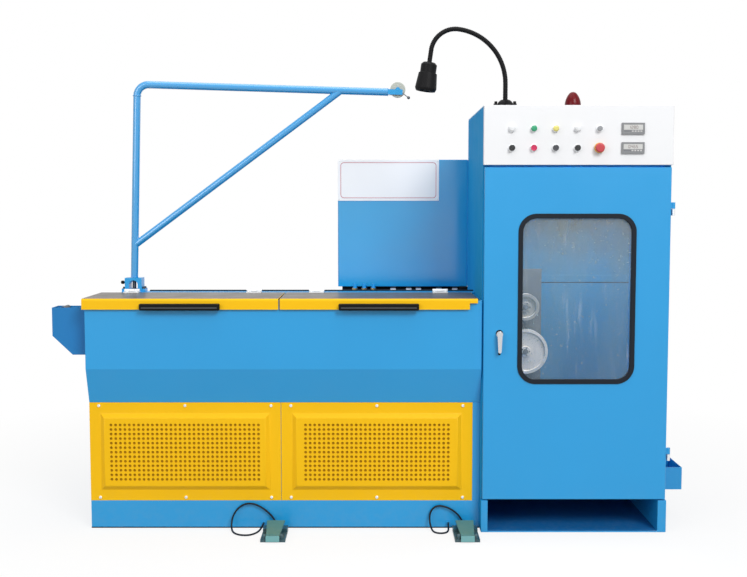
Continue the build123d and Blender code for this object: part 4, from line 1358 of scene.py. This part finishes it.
@dataclass
class InletBox:
    """The wire inlet box on the bed's left end, with its guide roller, and the side tray."""

    sheet_edge: float = 0.0009
    wall: float = 0.0032
    roller_radius: float = 0.012
    roller_inset: float = 0.045
    roller_proud: float = 0.004
    roller_rim: float = 0.004
    roller_hollow: float = 0.002
    roller_edge: float = 0.001

    def build(self) -> None:
        """Dress the box and the tray, and lay the roller between the box's walls."""
        # The inlet box is painted the darker blue: painted shade.
        dress("wire_inlet_box", SHADED_INLET_BLUE, self.sheet_edge)
        dress("side_tray", BLUE, self.sheet_edge)
        low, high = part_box("wire_inlet_box")
        x = low.x + self.roller_inset
        z = high.z - self.roller_radius + self.roller_proud
        ends = [(x, y, z) for y in (low.y + self.wall, high.y - self.wall)]
        roller = rod("inlet_roller", *ends, self.roller_radius, sides=28)
        with picked(roller, Kind.FACE, toward(FRONT, -FRONT)):
            bpy.ops.mesh.inset(thickness=self.roller_rim, depth=-self.roller_hollow)
        paint(soften(roller, self.roller_edge), DARK_STEEL, MACHINE)


@dataclass
class Cabinet:
    """The take-up cabinet's case, its inside and the wheels on their column."""

    edge: float = 0.0018
    seam_foot: float = 1.035
    seam_height: float = 0.034
    seam_sheet: float = 0.003
    lap_shadow_height: float = 0.005
    gap_edge: float = 0.0003
    lap_edge: float = 0.001
    panel_edge: float = 0.002
    column_edge: float = 0.0015
    front_share: float = 0.5
    rim: float = 0.015
    wheel_color: Rgb = (240, 229, 214)
    wheel_edge: float = 0.0008
    hub: float = 0.018
    hub_screws: int = 5
    screw_radius: float = 0.0028
    screw_height: float = 0.002
    case: tuple[str, ...] = (
        "cabinet_floor",
        "cabinet_roof",
        "head_floor",
    )

    def build(self) -> None:
        """Dress the case, lap the back wall's seam and set the wheels."""
        plinth = dress("cabinet_plinth", BLUE, self.edge)
        low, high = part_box("cabinet_plinth")
        middle = (low + high) / 2
        half = high.x - middle.x - self.edge
        upward = toward(UP)
        # The plinth's upward faces below its middle are painted darker: painted shade.
        touch_up(plinth, PLINTH_SHADE_BLUE, lambda face: upward(face) and face.center.z < middle.z)
        touch_up(plinth, SIDE_BLUE, lambda face: abs(face.center.x - middle.x) > half)
        for node in self.case:
            dress(node, BLUE, self.edge)
        dress("cabinet_side_walls", SIDE_BLUE, self.edge)
        back = dress("cabinet_back_wall", BLUE, self.edge)
        # The back wall's inner face gets the darker inside blue: painted shade.
        touch_up(back, SHADED_INSIDE_BLUE, toward(FRONT, share=self.front_share))
        dress("control_panel", WHITE, self.panel_edge, 3)
        low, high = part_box("cabinet_back_wall")
        # A dark strip under the lap strip: painted shadow.
        gap = cuboid(
            "back_wall_gap",
            (low.x, low.y - self.seam_sheet / 3, self.seam_foot - self.lap_shadow_height),
            (high.x, low.y, self.seam_foot),
        )
        paint(soften(gap, self.gap_edge, 1), SHADOW_STRIP, MACHINE)
        # The lap strip gets the darker inside blue too: painted shade.
        strip = cuboid(
            "back_wall_lap",
            (low.x, low.y - self.seam_sheet, self.seam_foot),
            (high.x, low.y, self.seam_foot + self.seam_height),
        )
        paint(soften(strip, self.lap_edge), SHADED_INSIDE_BLUE, MACHINE)
        dress("sheave_column", GREY, self.column_edge)
        self.wheel("upper_sheave", WEB_STEEL)
        self.wheel("lower_wheel")

    def wheel(self, node: str, web: Finish | None = None) -> None:
        """Dress one wheel, with its web in another finish where asked, and screw its hub.

        Args:
            node: The wheel's solid.
            web: The web's finish, or none.
        """
        low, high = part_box(node)
        centre = (low + high) / 2
        radius = (high.x - low.x) / 2
        turned = Turned(f"{node}_turned", "bright_steel", self.wheel_color, 0.30, centre=tuple(centre))
        piece = dress(node, turned, self.wheel_edge, 1)

        def on_web(face: bpy.types.MeshPolygon) -> bool:
            """Tell the faces inside the rim from the rest."""
            return (Vector(face.center) - centre).xz.length < radius - self.rim

        if web:
            touch_up(piece, web, on_web)
        hub = self.hub
        places = [
            facing((centre.x + hub * math.cos(a), low.y, centre.z + hub * math.sin(a)), FRONT)
            for a in (math.tau * i / self.hub_screws for i in range(self.hub_screws))
        ]
        screw = screw_head(self.screw_radius, self.screw_height)
        paint(stamp(screw, f"{node}_hub_screws", places), DARK_STEEL, BODY_OF[node])


@dataclass
class Door:
    """The cabinet's glazed door with its seal, lever and hinges."""

    rose: float = 0.0155
    rose_height: float = 0.003
    head: float = 0.011
    plug: float = 0.0055
    plug_height: float = 0.0025
    edge: float = 0.0015
    gasket_edge: float = 0.002
    lever_edge: float = 0.0025
    rose_edge: float = 0.0006
    plug_edge: float = 0.0004
    hinge_edge: float = 0.0008

    def build(self) -> None:
        """Dress the door and what it carries."""
        dress("cabinet_door", BLUE, self.edge)
        dress("window_gasket", RUBBER_AND_RAIL_SHADE, self.gasket_edge, 3)
        dress("window_glass", GLASS)
        dress("door_handle", CHROME, self.lever_edge, 3)
        low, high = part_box("door_handle")
        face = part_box("cabinet_door")[0].y
        across, up = (low.x + high.x) / 2, high.z - self.head
        foot = Vector((across, face, up))
        rose = rod("lever_rose", foot, foot + FRONT * self.rose_height, self.rose, sides=32)
        with picked(rose, Kind.FACE, toward(FRONT)):
            bpy.ops.mesh.inset(thickness=self.rose * 0.2, depth=self.rose_height / 2)
        paint(soften(rose, self.rose_edge), ENAMEL, BODY_OF["cabinet_door"])
        foot = Vector((across, face, low.z - self.plug))
        plug = rod("lever_lock_plug", foot, foot + FRONT * self.plug_height, self.plug)
        with picked(plug, Kind.FACE, toward(FRONT)):
            bpy.ops.mesh.inset(thickness=self.plug * 0.4, depth=-self.plug_height / 2)
        paint(soften(plug, self.plug_edge), ENAMEL, BODY_OF["cabinet_door"])
        dress("door_hinge_pins", ZINC, self.hinge_edge)


class Control(Enum):
    """The kinds of control on the panel."""

    LAMP = "lamp"
    BUTTON = "button"
    SELECTOR = "selector"
    KNOB = "knob"
    STOP = "stop"


@dataclass
class ControlPanel:
    """The controls, the stop button and the two meters of the white panel."""

    bezel_radius: float = 0.015
    bezel_edge: float = 0.0005
    cap_edge: float = 0.0007
    cap_roughness: float = 0.28
    ridge_width: float = 0.0068
    ridge_height: float = 0.0085
    ridge_share: float = 0.95
    ridge_turn: float = 28.0
    ridge_edge: float = 0.0016
    digit_height: float = 0.0115
    digit_width: float = 0.0062
    digit_pitch: float = 0.0105
    bar: float = 0.0013
    bar_share: float = 0.85
    bar_rise: float = 0.0008
    bar_edge: float = 0.0003
    digit_color: Rgb = (96, 62, 54)
    meter_height: float = 0.048
    meter_margin: float = 0.008
    meter_recess: float = 0.002
    meter_edge: float = 0.001
    meter_color: Rgb = (132, 134, 136)
    window_rise: float = 0.0012
    window_edge: float = 0.0006
    window_color: Rgb = (206, 206, 204)
    strip_height: float = 0.010
    strip_rise: float = 0.0008
    strip_gap: float = 0.001
    strip_edge: float = 0.0004
    strip_color: Rgb = (120, 122, 126)
    key_size: tuple[float, float, float] = (0.0084, 0.0012, 0.005)
    key_edge: float = 0.0007
    key_inset: float = 0.007
    key_pitch: float = 0.012
    key_rise: float = 0.0045
    key_count: int = 4
    readings: tuple[str, ...] = ("1280", "0465")
    upper: tuple[tuple[Control, str, Rgb], ...] = (
        (Control.LAMP, "power_lamp", (232, 234, 236)),
        (Control.LAMP, "run_lamp", (40, 158, 112)),
        (Control.LAMP, "fault_lamp", (226, 216, 120)),
        (Control.LAMP, "brake_lamp", (232, 234, 236)),
        (Control.KNOB, "speed_knob", (150, 152, 156)),
    )
    lower: tuple[tuple[Control, str, Rgb], ...] = (
        (Control.SELECTOR, "mode_selector", (44, 46, 48)),
        (Control.BUTTON, "halt_button", (206, 44, 92)),
        (Control.BUTTON, "jog_button", (66, 68, 74)),
        (Control.SELECTOR, "light_selector", (44, 46, 48)),
        (Control.STOP, "stop_collar", (238, 176, 48)),
    )
    sizes: dict[Control, tuple[float, float]] = field(
        default_factory=lambda: {
            Control.LAMP: (0.0128, 0.009),
            Control.BUTTON: (0.0128, 0.009),
            Control.SELECTOR: (0.0128, 0.009),
            Control.KNOB: (0.0105, 0.013),
            Control.STOP: (0.0218, 0.006),
        }
    )
    steps: dict[Control, tuple[tuple[float, float], ...]] = field(
        default_factory=lambda: {
            Control.LAMP: ((0.22, 0.0030), (0.30, 0.0018)),
            Control.BUTTON: ((0.16, 0.0), (0.12, -0.0015)),
            Control.SELECTOR: ((0.12, 0.0006),),
            Control.KNOB: ((0.25, 0.0010),),
            Control.STOP: ((0.12, 0.0006),),
        }
    )
    segments: dict[str, str] = field(
        default_factory=lambda: {
            "0": "abcdef",
            "1": "bc",
            "2": "abged",
            "4": "fgbc",
            "5": "afgcd",
            "6": "afgedc",
            "8": "abcdefg",
        }
    )

    def spots(self) -> list[tuple[float, float]]:
        """Give the controls' places, the upper row first.

        Returns:
            The places across and up.
        """
        low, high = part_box("control_bezels")
        radius = self.bezel_radius
        first, last = low.x + radius, high.x - radius
        pitch = (last - first) / (len(self.upper) - 1)
        rows = (high.z - radius, low.z + radius)
        return [(first + pitch * i, z) for z in rows for i in range(len(self.upper))]

    def cap(self, kind: Control, name: str, color: Rgb, x: float, z: float) -> None:
        """Model one control on its bezel.

        Args:
            kind: The kind of control.
            name: The piece's name.
            color: Its colour.
            x: Its place across.
            z: Its height.
        """
        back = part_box("control_bezels")[0].y
        radius, depth = self.sizes[kind]
        front = back - depth
        piece = rod(name, (x, back, z), (x, front, z), radius, sides=32)
        with picked(piece, Kind.FACE, toward(FRONT)):
            for share, rise in self.steps[kind]:
                bpy.ops.mesh.inset(thickness=radius * share, depth=rise)
        soften(piece, self.cap_edge)
        if kind is Control.SELECTOR:
            half = self.ridge_width / 2
            reach = radius * self.ridge_share
            ridge = cuboid(
                f"{name}_ridge",
                (x - half, front - self.ridge_height, z - reach),
                (x + half, front, z + reach),
            )
            turn = Matrix.Rotation(math.radians(self.ridge_turn), 4, "Y")
            middle = Matrix.Translation((x, 0, z))
            ridge.data.transform(middle @ turn @ middle.inverted())
            soften(ridge, self.ridge_edge, 3)
            piece = join(name, [piece, ridge])
        finish_type = Lens if kind is Control.LAMP else Finish
        finish = finish_type(f"{name}_finish", "control_plastic", color, self.cap_roughness)
        nodes = () if kind is Control.STOP else ("control_caps",)
        paint(piece, finish, MACHINE, nodes)

    def reading(self, name: str, digits: str, x: float, y: float, z: float) -> None:
        """Set a meter's digits from plain bars.

        Args:
            name: The piece's name.
            digits: What the meter shows.
            x: Middle of the digits across.
            y: The face that they sit on.
            z: Their middle height.
        """
        half_w, half_h = self.digit_width / 2, self.digit_height / 2
        spots = {
            "a": (0, half_h, True),
            "b": (half_w, half_h / 2, False),
            "c": (half_w, -half_h / 2, False),
            "d": (0, -half_h, True),
            "e": (-half_w, -half_h / 2, False),
            "f": (-half_w, half_h / 2, False),
            "g": (0, 0, True),
        }
        corner = Vector((half_w * self.bar_share, self.bar_rise / 2, self.bar / 2))
        model = soften(cuboid("digit_bar", -corner, corner), self.bar_edge, 1)
        places = []
        for i, digit in enumerate(digits):
            middle = x + (i - (len(digits) - 1) / 2) * self.digit_pitch
            for letter in self.segments[digit]:
                dx, dz, flat = spots[letter]
                turn = Matrix.Identity(4) if flat else Matrix.Rotation(math.pi / 2, 4, "Y")
                places.append(Matrix.Translation((middle + dx, y, z + dz)) @ turn)
        ink = Lens("digit_brown", "red_plastic", self.digit_color, 0.4)
        paint(stamp(model, name, places), ink, MACHINE)

    def meters(self) -> None:
        """Dress the meters, with a pale window, digits and a row of keys each."""
        case = Finish("meter_grey", "black_plastic", self.meter_color, 0.35)
        pale = Finish("meter_window", "white_paint", self.window_color, 0.25)
        strip = Finish("meter_key_strip", "control_plastic", self.strip_color, 0.35)
        dress("panel_meters", case, self.meter_edge)
        low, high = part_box("panel_meters")
        recess = low.y + self.meter_recess
        left, right = low.x + self.meter_margin, high.x - self.meter_margin
        ink = recess - self.window_rise - self.bar_rise / 2
        wide, deep, tall = self.key_size
        for i, foot in enumerate((high.z - self.meter_height, low.z)):
            bottom, top = foot + self.meter_margin, foot + self.meter_height - self.meter_margin
            split = bottom + self.strip_height
            window = cuboid(
                f"meter_window_{i}",
                (left, recess - self.window_rise, split),
                (right, recess, top),
            )
            paint(soften(window, self.window_edge), pale, MACHINE)
            band = cuboid(
                f"meter_strip_{i}",
                (left, recess - self.strip_rise, bottom),
                (right, recess, split - self.strip_gap),
            )
            paint(soften(band, self.strip_edge), strip, MACHINE)
            key = cuboid("meter_key", (-wide / 2, -deep, -tall / 2), (wide / 2, 0, tall / 2))
            soften(key, self.key_edge)
            first = Vector((right - self.key_inset, recess - self.strip_rise, bottom + self.key_rise))
            keys = [Matrix.Translation(first - RIGHT * self.key_pitch * n) for n in range(self.key_count)]
            paint(stamp(key, f"meter_keys_{i}", keys), pale, MACHINE)
            middle = (left + right) / 2
            self.reading(f"meter_reading_{i}", self.readings[i], middle, ink, (split + top) / 2)

    def build(self) -> None:
        """Set all the controls and the meters."""
        dress("control_bezels", ZINC, self.bezel_edge, 1)
        dress("emergency_stop", STOP_RED)
        for (kind, name, color), (x, z) in zip(self.upper + self.lower, self.spots()):
            self.cap(kind, name, color, x, z)
        self.meters()


@dataclass
class WorkLamp:
    """The work lamp on its ribbed gooseneck, and the beacon."""

    neck_radius: float = 0.0105
    rise: float = 0.068
    bends: tuple[tuple[float, float], ...] = ((0.230, 82.7), (0.103, 89.3))
    drop: float = 0.052
    rib: float = 0.0068
    waist: float = 0.86
    sides: int = 20
    bend_steps: int = 28
    fold: float = 70.0
    base_edge: float = 0.001
    head_edge: float = 0.003
    beacon_edge: float = 0.001
    flange: float = 0.008
    bolt_inset: float = 0.008
    bolt_across: float = 0.014
    bolt_height: float = 0.009
    bolt_count: int = 4

    def line(self) -> list[Vector]:
        """Give the gooseneck's middle line, from its foot to the lamp head.

        Returns:
            The line's points.
        """
        low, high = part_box("lamp_base")
        at = Vector(((low.x + high.x) / 2, (low.y + high.y) / 2, high.z))
        points = [at.copy()]
        at = at + Vector((0, 0, self.rise))
        points.append(at.copy())
        heading = 0.0
        steps = self.bend_steps
        for radius, turn in self.bends:
            centre = at - radius * Vector((math.cos(heading), 0, math.sin(heading)))
            for i in range(1, steps + 1):
                angle = heading + math.radians(turn) * i / steps
                at = centre + radius * Vector((math.cos(angle), 0, math.sin(angle)))
                points.append(at.copy())
            heading += math.radians(turn)
        points.append(at + self.drop * Vector((-math.sin(heading), 0, math.cos(heading))))
        return points

    def neck(self) -> None:
        """Model one rib of the gooseneck and repeat it along its line."""
        points = self.line()
        length = sum((b - a).length for a, b in zip(points, points[1:]))
        count = round(length / self.rib)
        step = length / count
        rib = rod("gooseneck_ribs", (0, 0, 0), (0, 0, step), self.neck_radius * self.waist, self.sides)
        with picked(rib, Kind.FACE, toward(UP, -UP)):
            bpy.ops.mesh.delete(type="ONLY_FACE")
        with picked(rib, Kind.EDGE, lambda edge: abs(self.lift(rib, edge)) > step / 2):
            bpy.ops.mesh.subdivide(number_cuts=3)
        for vertex in rib.data.vertices:
            bulge = math.sin(math.pi * vertex.co.z / step)
            swell = 1 + (1 / self.waist - 1) * bulge
            vertex.co.x *= swell
            vertex.co.y *= swell
        apply_modifier(
            rib,
            "ARRAY",
            count=count,
            use_relative_offset=False,
            use_constant_offset=True,
            constant_offset_displace=(0, 0, step),
            use_merge_vertices=True,
            merge_threshold=step / 100,
        )
        guide = bpy.data.curves.new("neck_line", "CURVE")
        guide.dimensions = "3D"
        spline = guide.splines.new("POLY")
        spline.points.add(len(points) - 1)
        for spot, point in zip(spline.points, points):
            spot.co = (*(point - points[0]), 1)
        path = bpy.data.objects.new("neck_line", guide)
        bpy.context.scene.collection.objects.link(path)
        apply_modifier(rib, "CURVE", object=path, deform_axis="POS_Z")
        bpy.data.objects.remove(path)
        rib.data.transform(Matrix.Translation(points[0]))
        soften(rib, 0, angle=self.fold)
        paint(rib, ENAMEL, MACHINE, ["gooseneck"])

    @staticmethod
    def lift(piece: Piece, edge: bpy.types.MeshEdge) -> float:
        """Give how far an edge climbs."""
        first, second = (piece.data.vertices[i].co for i in edge.vertices)
        return second.z - first.z

    def build(self) -> None:
        """Dress the lamp and the beacon, and bolt the lamp down."""
        self.neck()
        dress("lamp_base", ENAMEL, self.base_edge)
        dress("lamp_head", ENAMEL, self.head_edge, 3)
        dress("beacon", DOME, self.beacon_edge)
        low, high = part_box("lamp_base")
        middle = (low + high) / 2
        top = low.z + self.flange
        reach = (high.x - low.x) / 2 - self.bolt_inset
        places = [
            facing((middle.x + reach * math.cos(a), middle.y + reach * math.sin(a), top), UP)
            for a in (math.tau * i / self.bolt_count for i in range(self.bolt_count))
        ]
        bolt = hex_bolt(self.bolt_across, self.bolt_height)
        paint(stamp(bolt, "lamp_base_bolts", places), ENAMEL, MACHINE)


@dataclass
class FootSwitches:
    """The two foot switches on the floor and their cords."""

    cord_radius: float = 0.004
    base_edge: float = 0.002
    gland_edge: float = 0.001
    treadle_edge: float = 0.0015
    apron: float = 0.008
    routes: dict[str, tuple[tuple[float, float, float], ...]] = field(
        default_factory=lambda: {
            "left": (
                (0, 30, 12), (0, 46, 12), (-6, 53, 34), (-27, 53, 64), (-60, 52, 92), (-98, 51, 112),
                (-136, 50, 113), (-169, 48, 93), (-190, 46, 60), (-196, 38, 30), (-193, 18, 10),
                (-185, -8, 4.5), (-169, -36, 4), (-143, -54, 4), (-112, -55, 4), (-90, -36, 4),
                (-76, -8, 4), (-66, 20, 9), (-57, 44, 24), (-57, 57, 24),
            ),
            "right": (
                (0, 30, 12), (0, 46, 12), (-6, 53, 34), (-25, 53, 62), (-51, 52, 84), (-80, 52, 98),
                (-110, 51, 104), (-135, 50, 94), (-149, 48, 70), (-151, 43, 43), (-147, 30, 20),
                (-141, 7, 7), (-130, -18, 4), (-105, -29, 4), (-80, -18, 4), (-70, 7, 6),
                (-69, 31, 14), (-68, 46, 24), (-68, 57, 24),
            ),
        }
    )
    lengths: dict[str, float] = field(default_factory=lambda: {"left": 0.584, "right": 0.460})

    def cord(self, side: str) -> None:
        """Lay one switch's cord along its route.

        Args:
            side: Left or right.
        """
        low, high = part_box(f"{side}_treadle")
        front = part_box("cabinet_door")[0].y
        across = (low.x + high.x) / 2
        points = [Vector((across + x / 1000, front + y / 1000, z / 1000)) for x, y, z in self.routes[side]]
        curve = bpy.data.curves.new(f"{side}_foot_cord", "CURVE")
        curve.dimensions = "3D"
        curve.bevel_depth = self.cord_radius
        curve.bevel_resolution = 4
        curve.resolution_u = 10
        curve.use_fill_caps = True
        spline = curve.splines.new("NURBS")
        spline.points.add(len(points) - 1)
        for spot, point in zip(spline.points, points):
            spot.co = (*point, 1)
        spline.order_u = 3
        spline.use_endpoint_u = True
        cord = bpy.data.objects.new(f"{side}_foot_cord", curve)
        bpy.context.scene.collection.objects.link(cord)
        paint(cord, SHEATH, MACHINE, [f"{side}_pedal_cord"])

    def build(self) -> None:
        """Dress the switches and lay their cords."""
        # The bases are painted the darker teal: painted shade.
        dress("pedal_bases", TEAL_SHADED_BASE, self.base_edge)
        dress("cord_glands", BLUE, self.gland_edge)
        for side in ("left", "right"):
            node = f"{side}_treadle"
            plate = dress(node, TEAL, self.treadle_edge)
            low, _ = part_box(node)
            fold = low.y + self.apron
            # The treadle's front lip is painted the lighter teal: painted light.
            touch_up(plate, TEAL_LIT_LIP, lambda face: face.center.y < fold)
            self.cord(side)


@dataclass(frozen=True)
class SoftLamp:
    """A square soft lamp: its place, what it points at, its length and its power in watts."""

    name: str
    at: tuple[float, float, float]
    aim: tuple[float, float, float]
    size: float
    power: float

    def hang(self) -> None:
        """Hang the lamp."""
        data = bpy.data.lights.new(self.name, "AREA")
        data.size = self.size
        data.energy = self.power
        light = bpy.data.objects.new(self.name, data)
        light.location = self.at
        light.rotation_euler = (Vector(self.aim) - Vector(self.at)).to_track_quat("-Z", "Y").to_euler()
        bpy.context.scene.collection.objects.link(light)


@dataclass
class Studio:
    """The pale floor, the soft light and the camera."""

    floor_size: float = 60.0
    floor_drop: float = 0.0006
    floor_roughness: float = 0.9
    floor_shown: float = 0.95
    floor_lit: float = 0.35
    ambient: float = 0.38
    floor_glow: float = 1.0
    glow_share: float = 0.80
    fade_start: float = 1.3
    fade_end: float = 3.2
    camera_at: tuple[float, float, float] = (-0.014, -5.085, 1.400)
    pitch_down: float = 4.34
    focal_pixels: float = 1064.0
    picture_width: float = 747.0
    sensor: float = 36.0
    lamps: tuple[SoftLamp, ...] = (
        SoftLamp("key_lamp", (4.0, -8.6, 7.0), (0, 0, 0.9), 4.0, 690),
        SoftLamp("fill_lamp", (-4.2, -6.0, 3.4), (0.2, 0, 0.9), 3.6, 120),
        SoftLamp("top_lamp", (0, -0.5, 5.2), (0, 0, 0), 4.0, 80),
        SoftLamp("cabinet_lamp", (0.93, -0.36, 1.52), (0.93, -0.35, 0.6), 0.24, 6.7),
    )

    def backdrop_share(self, tree: bpy.types.NodeTree) -> bpy.types.NodeSocket:
        """Tell rays that show the backdrop from those that light the machine.

        Args:
            tree: The node tree to work in.

        Returns:
            One for camera, glossy and transmission rays.
        """
        path = tree.nodes.new("ShaderNodeLightPath")
        share = path.outputs["Is Camera Ray"]
        for name in ("Is Glossy Ray", "Is Transmission Ray"):
            most = tree.nodes.new("ShaderNodeMath")
            most.operation = "MAXIMUM"
            tree.links.new(share, most.inputs[0])
            tree.links.new(path.outputs[name], most.inputs[1])
            share = most.outputs[0]
        return share

    def sky(self) -> None:
        """Set a white backdrop and an even light."""
        world = bpy.data.worlds.new("studio")
        bpy.context.scene.world = world
        world.use_nodes = True
        tree = world.node_tree
        light = tree.nodes["Background"]
        light.inputs["Color"].default_value = (1, 1, 1, 1)
        light.inputs["Strength"].default_value = self.ambient
        white = tree.nodes.new("ShaderNodeBackground")
        white.inputs["Color"].default_value = (1, 1, 1, 1)
        mix = tree.nodes.new("ShaderNodeMixShader")
        tree.links.new(self.backdrop_share(tree), mix.inputs[0])
        tree.links.new(light.outputs[0], mix.inputs[1])
        tree.links.new(white.outputs[0], mix.inputs[2])
        tree.links.new(mix.outputs[0], tree.nodes["World Output"].inputs[0])

    def floor(self) -> None:
        """Lay a pale floor that keeps a faint shadow."""
        deselect_all()
        bpy.ops.mesh.primitive_plane_add(size=self.floor_size, location=(0, 0, -self.floor_drop))
        plane = new_piece("studio_floor")
        material = bpy.data.materials.new("studio_floor")
        material.use_nodes = True
        tree = material.node_tree
        ground = tree.nodes["Principled BSDF"]
        ground.inputs["Roughness"].default_value = self.floor_roughness
        shown = self.backdrop_share(tree)
        tone = tree.nodes.new("ShaderNodeMix")
        tone.data_type = "RGBA"
        tone.inputs[6].default_value = (self.floor_lit, self.floor_lit, self.floor_lit, 1)
        tone.inputs[7].default_value = (self.floor_shown, self.floor_shown, self.floor_shown, 1)
        tree.links.new(shown, tone.inputs[0])
        tree.links.new(tone.outputs[2], ground.inputs["Base Color"])
        glow = tree.nodes.new("ShaderNodeEmission")
        glow.inputs["Strength"].default_value = self.floor_glow
        share = tree.nodes.new("ShaderNodeMath")
        share.operation = "MULTIPLY"
        tree.links.new(shown, share.inputs[0])
        tree.links.new(self.glow_by_distance(tree), share.inputs[1])
        mix = tree.nodes.new("ShaderNodeMixShader")
        tree.links.new(share.outputs[0], mix.inputs[0])
        tree.links.new(ground.outputs[0], mix.inputs[1])
        tree.links.new(glow.outputs[0], mix.inputs[2])
        tree.links.new(mix.outputs[0], tree.nodes["Material Output"].inputs[0])
        plane.data.materials.append(material)

    def glow_by_distance(self, tree: bpy.types.NodeTree) -> bpy.types.NodeSocket:
        """Let the floor turn into plain white away from the machine.

        Args:
            tree: The node tree to work in.

        Returns:
            The share of white, which grows with the distance from the middle.
        """
        place = tree.nodes.new("ShaderNodeTexCoord")
        length = tree.nodes.new("ShaderNodeVectorMath")
        length.operation = "LENGTH"
        tree.links.new(place.outputs["Object"], length.inputs[0])
        fade = tree.nodes.new("ShaderNodeMapRange")
        tree.links.new(length.outputs["Value"], fade.inputs["Value"])
        limits = (self.fade_start, self.fade_end, self.glow_share, 1.0)
        for name, number in zip(RANGE_SOCKETS, limits):
            fade.inputs[name].default_value = number
        return fade.outputs["Result"]

    def camera(self) -> None:
        """Put the camera where the photographer stood."""
        data = bpy.data.cameras.new("camera")
        data.sensor_width = self.sensor
        data.lens = self.sensor * self.focal_pixels / self.picture_width
        view = bpy.data.objects.new("camera", data)
        view.location = self.camera_at
        view.rotation_euler = (math.radians(90 - self.pitch_down), 0, 0)
        bpy.context.scene.collection.objects.link(view)
        bpy.context.scene.camera = view

    def build(self) -> None:
        """Set the whole studio."""
        bpy.context.scene.view_settings.view_transform = "Standard"
        self.sky()
        self.floor()
        for lamp in self.lamps:
            lamp.hang()
        self.camera()


def main() -> None:
    """Build the studio and dress the machine, one sub-assembly after another."""
    logging.basicConfig(level=logging.INFO, format="%(name)s: %(message)s")
    assemblies = (
        Studio(),
        FootSwitches(),
        Bed(),
        VentPanel("left_vent_panel", 33),
        VentPanel("right_vent_panel", 32),
        Lid("left"),
        Lid("right"),
        HingePins(),
        MotorHousing(),
        GuideArm(),
        InletBox(),
        Cabinet(),
        Door(),
        ControlPanel(),
        WorkLamp(),
    )
    for assembly in assemblies:
        assembly.build()
        log.info("%s is built", type(assembly).__name__)


if __name__ == "__main__":
    main()
